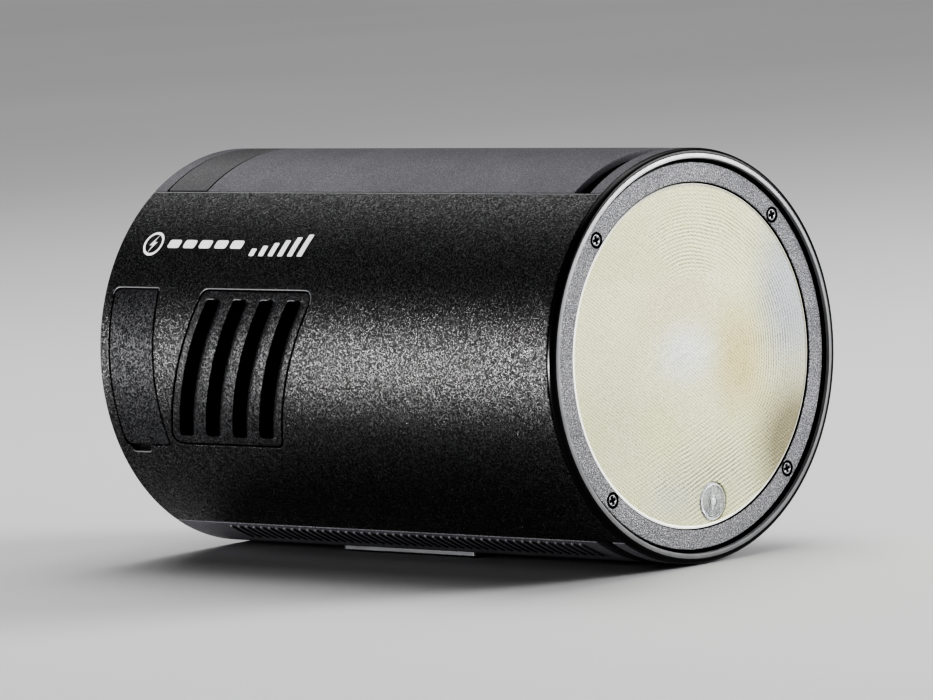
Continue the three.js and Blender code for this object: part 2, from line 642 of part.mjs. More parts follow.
/** A bulkhead behind the reflector, a ring in front of the control board and two rails between them. */
function mainChassis() {
  const { r, back, front, ringBack, ringFront, ringBore } = CHASSIS;
  const railBack = ringFront - 0.6;
  const railFront = back + 0.4;
  const wiring = bar('x', 3, back - 3, front + 3, [0, -14], 10);
  const bulkhead = cut(bar('x', r, back, front, [0, 0], 30), wiring);
  const portSide = box(ringBack - 1, ringFront + 1, -CLEAR, -20, -15, 15);
  const opening = bar('x', ringBore, ringBack - 1, ringFront + 1, [0, 0], 24);
  const ring = cut(bar('x', r, ringBack, ringFront, [0, 0], 30), opening, portSide);
  const topRail = box(railBack, railFront, -5, 5, 30.5, 32.5);
  const lowRail = box(railBack, railFront, 6.4, 10.8, -34, -32.4);
  const boardShelf = box(BOARD.front - 4, railFront, -20, 8, -5, BOARD.top - BOARD.thick - 0.2);
  return join(bulkhead, ring, topRail, lowRail, boardShelf);
}

function batteryBay() {
  const { gap, wall, top } = BAY;
  const h = PACK.halfHeight + gap;
  const back = PACK.back - gap;
  const front = PACK.front + gap;
  const floor = PACK.floor - gap;
  const outer = box(back - wall, front + wall, floor - wall, top, -h - wall, h + wall);
  const inner = box(back, front, floor, CLEAR, -h, h);
  const half = CONTACTS.halfHeight + 0.3;
  const contactHole = box(PACK.back - 3, PACK.back, CONTACTS.y0 - 1, CONTACTS.y1 + 1, -half, half);
  return cut(outer, inner, contactHole);
}

/** Five sprung blades in the rear wall of the bay. */
function bayContacts() {
  const { y0, y1, spots, halfBlade, halfHeight } = CONTACTS;
  const base = box(PACK.back - 4, PACK.back - 1.9, y0 - 0.7, y1 + 0.7, -halfHeight, halfHeight);
  const blades = spots.map((z) => (
    box(PACK.back - 2.2, PACK.back - 0.7, y0, y1, z - halfBlade, z + halfBlade)
  ));
  return join(base, ...blades);
}

function batteryCover() {
  const half = BAY_HALF - 0.3;
  return arcSlab(PACK.back - 0.3, PACK.front + 0.3, -90 - half, -90 + half, SHELL_INNER_R + 0.1, BARREL_R);
}

function batteryTray() {
  const t = PACK.wall;
  const h = PACK.halfHeight;
  const body = box(PACK.back, PACK.front, PACK.floor, PACK.top, -h, h);
  const inside = box(PACK.back + t, PACK.front - t, PACK.floor + t, CLEAR, -h + t, h - t);
  const half = CONTACTS.halfHeight - 0.2;
  const y0 = CONTACTS.y0 - 0.5;
  const contactWindow = box(PACK.back - 1, PACK.back + t + 1, y0, CONTACTS.y1 + 0.5, -half, half);
  return cut(body, inside, contactWindow);
}

function batteryContacts() {
  const half = CONTACTS.halfHeight - 0.4;
  const front = PACK.back + PACK.wall - 0.1;
  return box(PACK.back + 0.1, front, CONTACTS.y0 - 0.3, CONTACTS.y1 + 0.3, -half, half);
}

/** A round cell on the X axis with the raised pole at its front. */
const batteryCell = () => join(
  bar('x', CELL.r, -CELL.length / 2, CELL.length / 2 - 1, [0, 0], 18),
  bar('x', CELL.pole, CELL.length / 2 - 1.5, CELL.length / 2, [0, 0], 8),
);

/** The battery's release: a ridged slider in a window of the shell, with a foot behind the wall. */
function batteryLatch() {
  const { back, front, halfAngle, inner, outer } = LATCH;
  const face = arcSlab(back, front, -90 - halfAngle, -90 + halfAngle, inner, outer);
  const ridgeHalf = halfAngle - 1.5;
  const ridges = [2, 4, 6, 8].map((x) => (
    arcSlab(back + x, back + x + 0.8, -90 - ridgeHalf, -90 + ridgeHalf, outer - 0.2, BARREL_R)
  ));
  const foot = box(back - 0.2, front, inner - 2.3, inner + 0.1, -4.5, 4.5);
  return join(face, foot, ...ridges);
}

/** A coil spring along X between the latch's foot and a post of the rim's skirt. */
function latchSpring() {
  const { back, front, y, coilR, wireR, turns } = LATCH_SPRING;
  class Coil extends THREE.Curve {
    getPoint(t, target = new THREE.Vector3()) {
      const turn = t * turns * 2 * Math.PI;
      const x = THREE.MathUtils.lerp(back, front, t);
      return target.set(x, y + coilR * Math.cos(turn), coilR * Math.sin(turn));
    }
  }
  const wire = new THREE.Shape().absarc(0, 0, wireR, 0, 2 * Math.PI);
  return sweep(wire, new Coil(), 36, 2);
}

// ---- assembly -----------------------------------------------------------------------------------

/** A group at a place, holding pieces that are modelled about its origin. */
function group([x, y, z], ...pieces) {
  const holder = new THREE.Group();
  holder.position.set(x, y, z);
  holder.add(...pieces);
  return holder;
}

function frontEnd() {
  const screw = crossScrew(1.15, 0.9, 0.62, 5.6);
  const screws = screwAngles.map((angle, i) => {
    const piece = mesh(`bezel_screw_${i + 1}`, screw, steel);
    piece.position.set(BEZEL.face - 0.15, ...onBarrel(angle, BEZEL.screwRing));
    return piece;
  });
  return group(
    [0, 0, 0],
    mesh('front_rim', frontRim(), glossBlack),
    mesh('lens_bezel', lensBezel(), greyMetal),
    mesh('front_lens', frontLens(), glass),
    mesh('lens_gasket', lensGasket(), rubber),
    mesh('reflector', reflector(), mirror),
    mesh('flash_tube', flashTube(), glass),
    mesh('tube_socket', tubeSocket(), ceramic),
    group(
      [0, ...lampCentre()],
      mesh('modelling_lamp_lens', lampLens(), glass),
      mesh('modelling_lamp_board', lampBoard(), circuitBoard),
      mesh('modelling_lamp_emitter', lampEmitter(), ceramic),
    ),
    ...screws,
  );
}

function barrel() {
  const plateScrew = crossScrew(1.6, 1.0, 0.85, 3.6);
  const plateScrews = ['rear', 'front'].map((end, i) => {
    const piece = mesh(`plate_screw_${end}`, plateScrew, steel);
    piece.rotation.y = Math.PI / 2;
    piece.position.set(plateScrewX[i], 0, -BARREL_R + 0.05);
    return piece;
  });
  return group(
    [0, 0, 0],
    mesh('top_cover', topCover(), satinPlastic),
    mesh('sensor_window', sensorWindow(), satinPlastic),
    mesh('bottom_cover', bottomCover(), satinPlastic),
    mesh('right_side_shell', rightSideShell(), grainedPlastic),
    mesh('left_side_shell', leftSideShell(), grainedPlastic),
    mesh('vent_grille', ventGrille(), darkPlastic),
    mesh('port_cover', portCover(), rubber),
    mesh('socket_plate', socketPlate(), aluminium),
    mesh('stand_socket', standSocket(), steel),
    ...plateScrews,
  );
}

function controls() {
  const buttons = panelButtons.map(([name, y, z]) => {
    const piece = mesh(name, panelButton(), rubber);
    piece.position.set(0, y, z);
    return piece;
  });
  return group(
    [0, 0, 0],
    mesh('rear_panel', rearPanel(), darkPlastic),
    mesh('display_window', displayWindow(), glossBlack),
    mesh('display_module', displayModule(), glass),
    group(
      [0, 0, DIAL.up],
      mesh('select_dial', selectDial(), satinPlastic),
      mesh('set_button', setButton(), rubber),
    ),
    mesh('power_switch', powerSwitch(), satinPlastic),
    ...buttons,
  );
}

function electronics() {
  return group(
    [0, 0, 0],
    mesh('control_board', controlBoard(), circuitBoard),
    mesh('dial_encoder', dialEncoder(), steel),
    mesh('usb_port', usbPort(), steel),
    mesh('sync_jack', syncJack(), darkPlastic),
    mesh('light_sensor', lightSensor(), darkPlastic),
    mesh('radio_module', radioModule(), circuitBoard),
    mesh('beeper', beeper(), darkPlastic),
    mesh('main_capacitor', mainCapacitor(), wrap),
    mesh('power_board', powerBoard(), circuitBoard),
    mesh('transformer', transformer(), gold),
    mesh('heat_sink', heatSink(), aluminium),
    mesh('fan_frame', fanFrame(), darkPlastic),
    group([FAN.x, FAN_ROTOR.y, 0], mesh('fan_rotor', fanRotor(), darkPlastic)),
  );
}

function powerPack() {
  const middle = (PACK.back + PACK.front) / 2;
  return group(
    [0, 0, 0],
    mesh('main_chassis', mainChassis(), darkPlastic),
    mesh('battery_bay', batteryBay(), darkPlastic),
    mesh('bay_contacts', bayContacts(), gold),
    mesh('battery_cover', batteryCover(), grainedPlastic),
    mesh('battery_tray', batteryTray(), darkPlastic),
    mesh('battery_contacts', batteryContacts(), gold),
    group([middle, CELL.y, CELL.z], mesh('battery_cell_upper', batteryCell(), wrap)),
    group([middle, CELL.y, -CELL.z], mesh('battery_cell_lower', batteryCell(), wrap)),
    mesh('battery_latch', batteryLatch(), rubber),
    mesh('latch_spring', latchSpring(), steel),
  );
}

const strobe = new THREE.Group();
strobe.add(frontEnd(), barrel(), controls(), electronics(), powerPack());

export default strobe;
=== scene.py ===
"""Looks for the pocket battery strobe: detailed shells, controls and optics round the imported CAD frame."""

from math import asin, cos, degrees, pi, radians, sin, tan

import bmesh
import bpy
from mathutils import Matrix, Vector
from mathutils.geometry import tessellate_polygon


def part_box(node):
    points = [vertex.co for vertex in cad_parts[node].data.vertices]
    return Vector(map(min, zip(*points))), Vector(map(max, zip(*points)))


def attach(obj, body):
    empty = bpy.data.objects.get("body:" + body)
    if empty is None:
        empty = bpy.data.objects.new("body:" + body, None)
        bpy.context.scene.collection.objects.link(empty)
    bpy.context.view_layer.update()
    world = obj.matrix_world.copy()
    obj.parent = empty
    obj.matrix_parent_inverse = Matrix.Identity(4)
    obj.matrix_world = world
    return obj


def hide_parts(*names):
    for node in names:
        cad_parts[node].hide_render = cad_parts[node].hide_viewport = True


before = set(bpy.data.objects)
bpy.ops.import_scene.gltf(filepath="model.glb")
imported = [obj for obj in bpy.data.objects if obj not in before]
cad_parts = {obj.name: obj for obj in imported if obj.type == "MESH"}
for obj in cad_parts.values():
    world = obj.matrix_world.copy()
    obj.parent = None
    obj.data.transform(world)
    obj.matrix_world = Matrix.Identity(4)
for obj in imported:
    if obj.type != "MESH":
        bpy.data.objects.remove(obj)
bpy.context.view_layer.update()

MM = 0.001
X, Y, Z = Vector((1, 0, 0)), Vector((0, 1, 0)), Vector((0, 0, 1))


# ---- places read from the CAD frame, in millimetres ----

def span(node):
    """The lowest and highest corners of a CAD node, in millimetres."""
    low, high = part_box(node)
    return low / MM, high / MM


def middle(node):
    """The centre of a CAD node's box and half of its size."""
    low, high = span(node)
    return (low + high) / 2, (high - low) / 2


FRONT = span("front_rim")[1].x
BARREL_R = span("front_rim")[1].z
ARC = BARREL_R * pi / 180  # length of one degree round the barrel
SHELL_BACK, SHELL_FRONT = (corner.x for corner in span("top_cover"))
SHELL_LAP = 56.9  # where the shells' inner skins end, under the front rim
BAND_HALF = degrees(asin(span("top_cover")[1].y / BARREL_R))  # half angle of the top and bottom bands
SIDE_START = BAND_HALF + 0.4
SLOT_X = (51.5, 55.4)  # the accessory slot across the front of both bands
WINDOW_X = [corner.x for corner in span("sensor_window")]
PORT_X = [corner.x for corner in span("port_cover")]
PORT_ANGLES = (67.4, 113.5)
USB_SPOT, JACK_SPOT = (-50.15, 82.5), (-48.9, 101.2)  # station and angle of each port behind the flap
VENT_TOP, VENT_BOTTOM, VENT_SLANT = 67.5, 112.5, -0.25
VENT_BACK, VENT_WIDTH, VENT_MARGIN = -32.65, 29.7, 2.15
VENT_SLOT, VENT_PITCH = 2.3, 7.25
PACK_X = [corner.x for corner in span("battery_cover")]
PACK_HALF = degrees(asin(span("battery_cover")[1].z / BARREL_R))
LATCH_X = (span("battery_latch")[0].x + 0.2, span("battery_latch")[1].x)
LATCH_HALF, LATCH_TRAVEL = 9.0, 2.5
PLATE = span("socket_plate")
PANEL_FACE = span("rear_panel")[0].x
LENS_EDGE = 58.63  # station of the lens's outer edge
LENS_R = 31.2


# ---- flat outlines ----

def fillet(points, radii, steps=5):
    """Round each corner of a closed outline with an arc; radii is one number or one per corner."""
    count = len(points)
    if isinstance(radii, (int, float)):
        radii = [radii] * count
    out = []
    for i, corner in enumerate(points):
        corner = Vector(corner)
        back = Vector(points[i - 1]) - corner
        ahead = Vector(points[(i + 1) % count]) - corner
        half = back.angle(ahead) / 2
        if radii[i] <= 0 or half > radians(89.5):
            out.append(tuple(corner))
            continue
        run = min(radii[i] / tan(half), 0.49 * back.length, 0.49 * ahead.length)
        back.normalize()
        ahead.normalize()
        centre = corner + (back + ahead).normalized() * (run * tan(half) / sin(half))
        first, last = corner + back * run - centre, corner + ahead * run - centre
        turn = first.angle_signed(last)
        for k in range(steps + 1):
            arm = first.copy()
            arm.rotate(Matrix.Rotation(-turn * k / steps, 2))
            out.append(tuple(centre + arm))
    return out


def rectangle(u0, u1, v0, v1, radius=0.0):
    """A rectangle with rounded corners, anticlockwise."""
    return fillet([(u0, v0), (u1, v0), (u1, v1), (u0, v1)], radius)


def box(half_u, half_v, radius=0.0, u=0.0, v=0.0):
    """A rounded rectangle about a centre."""
    return rectangle(u - half_u, u + half_u, v - half_v, v + half_v, radius)


def arc(u, v, r, start, end, steps=6):
    """Points on an arc between two angles in degrees, both ends included."""
    turns = [radians(start + (end - start) * k / steps) for k in range(steps + 1)]
    return [(u + r * cos(turn), v + r * sin(turn)) for turn in turns]


def circle(u, v, r, steps=48):
    return arc(u, v, r, 0, 360, steps)[:-1]


def strip(x0, x1, a0, a1, radius=0.0):
    """A rectangle on the unrolled barrel between two stations and two angles."""
    return rectangle(x0, x1, a0 * ARC, a1 * ARC, radius)


def slanted(x0, x1, a0, a1, radius, steps=5):
    """A parallelogram on the unrolled barrel whose sides follow the vent's slant."""
    lean0, lean1 = (VENT_SLANT * (a - VENT_TOP) for a in (a0, a1))
    corners = [(x0 + lean0, a0 * ARC), (x1 + lean0, a0 * ARC), (x1 + lean1, a1 * ARC), (x0 + lean1, a1 * ARC)]
    return fillet(corners, radius, steps)


def area(loop):
    return sum(a[0] * b[1] - b[0] * a[1] for a, b in zip(loop, loop[1:] + loop[:1])) / 2


def inset(loop, depth):
    """Move every corner of an outline to its left by depth."""
    if depth == 0:
        return list(loop)
    out = []
    for i, corner in enumerate(loop):
        a, b, c = Vector(loop[i - 1]), Vector(corner), Vector(loop[(i + 1) % len(loop)])
        n1, n2 = (Vector((-way.y, way.x)) for way in ((b - a).normalized(), (c - b).normalized()))
        out.append(tuple(b + (n1 + n2) * (depth / max(0.25, 1 + n1.dot(n2)))))
    return out


def front_share(loop):
    """How much each corner of a hole takes part in the easing of its front side: 0 on the rear side."""
    ways = [(Vector(loop[(i + 1) % len(loop)]) - Vector(loop[i - 1])).normalized() for i in range(len(loop))]
    return [max(0.0, -way.y) ** 0.5 for way in ways]


# ---- slabs: outlines raised between two heights, and laid on a surface ----

def slab(outer, holes=(), **shape):
    """A slab for lay() to make; shape holds add_slab's other settings."""
    return outer, holes, shape


def join_rings(bm, rings):
    """Faces between each closed ring of vertices and the next."""
    for below, above in zip(rings, rings[1:]):
        for i in range(len(below)):
            bm.faces.new((below[i - 1], below[i], above[i], above[i - 1])).smooth = True


def add_slab(bm, outer, holes=(), low=-1.0, high=0.0, edge=0.15, edge_steps=3, ease=0.0, warp=None):
    """Add a closed slab to bm: the outer outline less the holes, its upper edges rounded by edge.

    With ease, the front side of every hole also falls away towards the hole over that distance.
    With warp, every corner is moved by that function at the end.
    """
    loops = [outer if area(outer) > 0 else outer[::-1]]
    loops += [hole if area(hole) < 0 else hole[::-1] for hole in holes]
    rings = []
    for index, loop in enumerate(loops):
        eased = ease if index else 0.0
        levels = [(0.0, 0.0, low)]
        for k in range(edge_steps + 1 if edge else 1):
            turn = pi / 2 * k / edge_steps
            levels.append((edge * (1 - cos(turn)), eased * (1 - cos(turn)),
                           high - (edge + 0.62 * eased) * (1 - sin(turn))))
        shares = front_share(loop) if eased else [0.0] * len(loop)
        rings.append([])
        for depth, move, h in levels:
            spots = zip(inset(loop, depth), shares)
            rings[-1].append([bm.verts.new((u + move * share, v, h)) for (u, v), share in spots])
    for ring in rings:
        join_rings(bm, ring)
    for level, flip in ((-1, False), (0, True)):
        corners = [v for ring in rings for v in ring[level]]
        for tri in tessellate_polygon([[v.co for v in ring[level]] for ring in rings]):
            a, b, c = (corners[i] for i in tri)
            upward = (b.co - a.co).cross(c.co - a.co).z > 0
            bm.faces.new((a, b, c) if upward != flip else (c, b, a))
    for vertex in (v for ring in rings for level in ring for v in level) if warp else ():
        vertex.co = warp(vertex.co)


def on_barrel(u, v, h):
    """A flat spot (along X, round from the top towards -Y, outward) to its place and its three directions."""
    turn = v / BARREL_R
    outward, along = Vector((0, -sin(turn), cos(turn))), Vector((0, -cos(turn), -sin(turn)))
    return X * u + outward * (BARREL_R + h), X, along, outward


def on_plane(origin, u_way, v_way, h_way):
    """The same for a flat surface with its origin and its three directions."""
    def place(u, v, h):
        return Vector(origin) + u_way * u + v_way * v + h_way * h, u_way, v_way, h_way
    return place


def facing_x(x, y=0.0, z=0.0):
    return on_plane((x, y, z), Y, Z, X)


def facing_down(x, z):
    return on_plane((x, 0, z), X, -Y, -Z)


def facing_y(y, side, x=0.0, z=0.0):
    """A surface that faces -Y (side -1) or +Y (side 1)."""
    return on_plane((x, y, z), X * -side, Z, Y * side)


ON_REAR = on_plane((PANEL_FACE, 0, 0), -Y, Z, -X)  # seen from behind: u to the right, v up


def finish_piece(name, bm, material, body="housing", stands_for=None, normals=None):
    """Turn a bmesh into a piece of the object that rides on a CAD body."""
    mesh = bpy.data.meshes.new(name)
    bm.to_mesh(mesh)
    bm.free()
    if normals:
        mesh.normals_split_custom_set(normals)
    mesh.materials.append(material)
    piece = bpy.data.objects.new(name, mesh)
    bpy.context.scene.collection.objects.link(piece)
    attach(piece, body)
    if stands_for:
        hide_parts(stands_for)
    return piece


def lay(name, slabs, place, material, body="housing", stands_for=None, angles=None):
    """Make a piece of slabs laid on a surface, with true normals; angles has it sliced round the barrel."""
    bm = bmesh.new()
    for outer, holes, shape in slabs:
        add_slab(bm, outer, holes, **shape)
    if angles:
        start, step = angles[0] * ARC, 1.5 * ARC
        for k in range(1, int((angles[1] * ARC - start) / step) + 1):
            bmesh.ops.bisect_plane(bm, geom=bm.verts[:] + bm.edges[:] + bm.faces[:], dist=1e-5,
                                   plane_co=(0, start + k * step, 0), plane_no=Y)
    bm.normal_update()
    _, u_way, v_way, h_way = place(0, 0, 0)
    side = 1 if u_way.cross(v_way).dot(h_way) > 0 else -1
    if side < 0:
        bmesh.ops.reverse_faces(bm, faces=bm.faces[:])
    normals = []
    for face in bm.faces:
        face.smooth = True
        flat = face.normal * side
        for corner in face.loops:
            _, u_way, v_way, h_way = place(*corner.vert.co)
            normals.append((u_way * flat.x + v_way * flat.y + h_way * flat.z).normalized())
    for vertex in bm.verts:
        vertex.co = place(*vertex.co)[0] * MM
    return finish_piece(name, bm, material, body, stands_for, normals)


def plate(name, outer, place, material, holes=(), body="housing", stands_for=None, slot=None, angles=None,
          **shape):
    """A piece of one slab."""
    return lay(name, [slab(outer, holes, **shape)], place, material, body, stands_for, angles)


# ---- turned pieces, and wires along a path ----

AXES = {
    "x": Matrix(((0, 0, 1), (1, 0, 0), (0, 1, 0))),
    "y": Matrix(((0, 1, 0), (0, 0, 1), (1, 0, 0))),
    "z": Matrix.Identity(3),
}
ON_AXIS = 1e-6
SOFT = cos(radians(32))  # profile corners gentler than this are smoothed


def spun(r, station, turn):
    return Vector((r * cos(turn), r * sin(turn), station))


def turned(name, profile, material, body="housing", centre=(0, 0), axis="x", steps=96, flip=False,
           stands_for=None, origin=0.0):
    """Spin a closed [radius, station] profile round an axis through centre, with normals that follow it."""
    count = len(profile)
    points = [Vector(p) for p in (profile if area(profile) > 0 else profile[::-1])]
    edges = [points[(i + 1) % count] - points[i] for i in range(count)]
    sides = [Vector((e.y, -e.x)).normalized() if e.length > 1e-9 else Vector((0, 0)) for e in edges]
    bm = bmesh.new()
    turns = [2 * pi * k / steps for k in range(steps)]
    rings = []
    for p in points:
        if p.x < ON_AXIS:
            rings.append([bm.verts.new((0, 0, p.y))] * steps)
        else:
            rings.append([bm.verts.new(spun(p.x, p.y, turn)) for turn in turns])
    normals = []
    for i in range(count):
        j = (i + 1) % count
        if points[i].x < ON_AXIS and points[j].x < ON_AXIS:
            continue
        ends = []
        for neighbour, point in ((sides[i - 1], points[i]), (sides[j], points[j])):
            smoothed = neighbour.dot(sides[i]) > SOFT and point.x > ON_AXIS
            ends.append((sides[i] + neighbour).normalized() if smoothed else sides[i])
        for k in range(steps):
            m = (k + 1) % steps
            corners = {}
            for vertex, end, index in ((rings[i][k], 0, k), (rings[i][m], 0, m), (rings[j][m], 1, m),
                                       (rings[j][k], 1, k)):
                corners.setdefault(vertex, spun(*ends[end], turns[index]))
            bm.faces.new(list(corners)).smooth = True
            normals += corners.values()
    to_axis = AXES[axis]
    if flip:
        to_axis = Matrix.Rotation(pi, 3, "Y" if axis == "x" else "X") @ to_axis
    spot = {"x": (origin, *centre), "y": (centre[0], origin, centre[1]), "z": (*centre, origin)}[axis]
    for vertex in bm.verts:
        vertex.co = (to_axis @ vertex.co + Vector(spot)) * MM
    return finish_piece(name, bm, material, body, stands_for, [to_axis @ n for n in normals])


def rounded_disc(r, back, front, edge=0.2, crown=0.0, steps=4, rings=1):
    """A solid disc's profile with a rounded front edge and a slightly domed face."""
    profile = [(0, back), (r, back)] + arc(r - edge, front - edge, edge, 0, 90, steps)
    for k in range(1, rings + 1):
        share = 1 - k / rings
        profile.append(((r - edge) * share, front + crown * (1 - share ** 2)))
    return profile


def wire(name, points, radius, material, sides=12, stands_for=None):
    """A round wire through points, with closed ends."""
    bm = bmesh.new()
    rings = []
    side = None
    for i, point in enumerate(points):
        way = (Vector(points[min(i + 1, len(points) - 1)]) - Vector(points[max(i - 1, 0)])).normalized()
        side = way.orthogonal() if side is None else side - way * side.dot(way)
        side.normalize()
        other = way.cross(side)
        ring = [spun(radius, 0, 2 * pi * k / sides) for k in range(sides)]
        rings.append([bm.verts.new((Vector(point) + side * spot.x + other * spot.y) * MM) for spot in ring])
    join_rings(bm, rings)
    bm.faces.new(rings[0][::-1])
    bm.faces.new(rings[-1])
    return finish_piece(name, bm, material, "housing", stands_for)


# ---- materials ----

class Signal:
    """A value that varies over a surface. Arithmetic on it adds maths nodes to its finish."""

    def __init__(self, finish, socket):
        self.finish, self.socket = finish, socket

    def math(self, kind, *other):
        return self.finish.add("Math", dict(enumerate((self, *other))), operation=kind)

    def __add__(self, other):
        return self.math("ADD", other)

    def __sub__(self, other):
        return self.math("SUBTRACT", other)

    def __mul__(self, other):
        return self.math("MULTIPLY", other)

    def __truediv__(self, other):
        return self.math("DIVIDE", other)


class Finish:
    """A material in the making: its shader, and short calls for the nodes that feed it."""

    def __init__(self, name):
        self.material = bpy.data.materials.new(name)
        self.material.use_nodes = True
        self.tree = self.material.node_tree
        self.tree.nodes.clear()
        self.out = self.tree.nodes.new("ShaderNodeOutputMaterial")
        self.shader = self.tree.nodes.new("ShaderNodeBsdfPrincipled")
        self.fill(self.out, {0: Signal(self, self.shader.outputs[0])})
        self.where = self.add("TexCoord", output="Object")

    def fill(self, node, inputs):
        """Link a node's inputs to signals, or set them to plain values; a colour may leave out its alpha."""
        for key, value in inputs.items():
            socket = node.inputs[key]
            if isinstance(value, Signal):
                self.tree.links.new(value.socket, socket)
            else:
                socket.default_value = (*value, 1) if socket.type == "RGBA" else value

    def add(self, kind, inputs=None, output=0, **settings):
        """Add a node, and give one of its outputs as a signal."""
        node = self.tree.nodes.new("ShaderNode" + kind)
        for key, value in settings.items():
            setattr(node, key, value)
        self.fill(node, inputs or {})
        return Signal(self, node.outputs[output])

    def set(self, **inputs):
        """Fill the shader's inputs: base_color=... is its Base Color."""
        self.fill(self.shader, {SHADER_INPUTS[key]: value for key, value in inputs.items()})

    def noise(self, size_mm, detail=2.0, rough=0.5, stretch=None):
        """A noise whose features are about size_mm across."""
        where = self.add("Mapping", {"Vector": self.where, "Scale": stretch}) if stretch else self.where
        return self.add("TexNoise", {"Vector": where, "Scale": 1 / (size_mm * MM), "Detail": detail,
                                     "Roughness": rough})

    def ramp(self, value, *stops):
        """Colours at places along a signal; a plain number is a grey."""
        result = self.add("ValToRGB", {0: value})
        points = result.socket.node.color_ramp.elements
        while len(points) < len(stops):
            points.new(0.5)
        for point, (at, colour) in zip(points, stops):
            point.position = at
            point.color = (*colour, 1) if isinstance(colour, tuple) else (colour, colour, colour, 1)
        return result

    def mix(self, base, colour, amount=1.0, kind="MIX"):
        return self.add("MixRGB", {"Fac": amount, "Color1": base, "Color2": colour}, blend_type=kind)

    def remap(self, value, low, high, to_low=0.0, to_high=1.0, kind="LINEAR"):
        return self.add("MapRange", {"Value": value, "From Min": low, "From Max": high, "To Min": to_low,
                                     "To Max": to_high}, interpolation_type=kind)

    def bump(self, height, depth_mm, strength=1.0, before=None):
        inputs = {"Height": height, "Distance": depth_mm * MM, "Strength": strength}
        if before:
            inputs["Normal"] = before
        normal = self.add("Bump", inputs)
        self.set(normal=normal)
        return normal


SHADER_INPUTS = {
    "base_color": "Base Color", "roughness": "Roughness", "metallic": "Metallic", "normal": "Normal",
    "ior": "IOR", "shine": "Specular IOR Level", "coat": "Coat Weight", "coat_roughness": "Coat Roughness",
    "transmission": "Transmission Weight", "glow_color": "Emission Color", "glow": "Emission Strength",
}


def mottled(finish, colour, vary, size_mm, detail):
    """A colour that drifts between a darker and a lighter shade of itself."""
    dark, light = (tuple(min(1.0, c * factor) for c in colour) for factor in (1 - vary, 1 + vary))
    return finish.ramp(finish.noise(size_mm, detail), (0.3, dark), (0.7, light))


def grained(name, colour, rough, grain_mm, depth_mm, vary=0.1, metal=0.0, fleck=2.5, contrast=0.2, shine=0.4,
            spark=0.0, sink=None):
    """Moulded plastic or paint: sharp pebbled grain with lit flecks, mottled colour and uneven gloss.

    With spark, single grains glint; with sink, painted shade: it darkens and dulls as it sinks between two
    radii, standing in for the shadow down in a recess.
    """
    finish = Finish(name)
    grain = finish.noise(grain_mm, 3.0, 0.6)
    specks = finish.ramp(grain, (0.5 - contrast, 0.3), (0.5, 1.0), (0.5 + contrast / 2, fleck),
                         (0.5 + contrast, fleck * 2.5))
    tint = finish.mix(mottled(finish, colour, vary, 9.0, 3.0), specks, 1.0, "MULTIPLY")
    gleam = shine
    if spark:
        cells = finish.add("TexVoronoi", {"Vector": finish.where, "Scale": 1 / (grain_mm * MM)}, "Color")
        tone = finish.add("SeparateColor", {0: cells})
        lit = finish.ramp(tone, (0.0, 0.25), (0.55, 0.6), (0.78, 1 + spark * 0.3), (1.0, 1 + spark))
        tint = finish.mix(tint, lit, 1.0, "MULTIPLY")
        gleam = finish.ramp(tone, *((at, shine * share) for at, share in ((0.0, 0.2), (0.5, 0.7), (0.8, 1.6),
                                                                         (1.0, 2.2))))
        grain = grain + tone
    # Painted shade: towards the inner of the two radii the colour goes black and the gloss fades, for the
    # shadow down in a recess.
    if sink:
        flat = finish.add("VectorMath", {0: finish.where, 1: (0, 1, 1)}, operation="MULTIPLY")
        radius = finish.add("VectorMath", {0: flat}, "Value", operation="LENGTH")
        share = finish.remap(radius, sink[0] * MM, sink[1] * MM, kind="SMOOTHSTEP")
        tint = finish.mix((0.001, 0.001, 0.001), tint, share)
        gleam = share * gleam
    first = finish.bump(finish.noise(grain_mm * 2.6), depth_mm * 0.08)
    finish.bump(grain, depth_mm, 1.0, first)
    gloss = finish.remap(grain, 0.3, 1.5 if spark else 0.7, rough + 0.12, rough - 0.12)
    finish.set(base_color=tint, roughness=gloss, metallic=metal, shine=gleam)
    return finish.material


def smooth(name, colour, rough, vary=0.12, metal=0.0, scratch=0.0, coat=0.0, size_mm=5.0, stretch=None,
           shine=0.5, glow=0.0):
    """Smooth plastic, metal or rubber with faint mottling and fine lines; glow is painted light, an emission
    in the piece's own colour.
    """
    finish = Finish(name)
    lines = finish.noise(0.5, 3.0, stretch=stretch)
    finish.set(base_color=mottled(finish, colour, vary, size_mm, 4.0), metallic=metal, shine=shine, coat=coat,
               roughness=finish.ramp(lines, (0.3, rough * 0.85), (0.7, min(1, rough * 1.15))),
               coat_roughness=0.08, glow_color=colour, glow=glow)
    finish.bump(lines, 0.01 + scratch, 0.5)
    return finish.material


def clear_glass(name, tint, rough):
    finish = Finish(name)
    darker = tuple(c * 0.94 for c in tint)
    finish.set(base_color=finish.ramp(finish.noise(3.0), (0.3, darker), (0.7, tint)), roughness=rough,
               transmission=0.9, ior=1.49)
    finish.bump(finish.noise(1.2), 0.01, 0.3)
    return finish.material


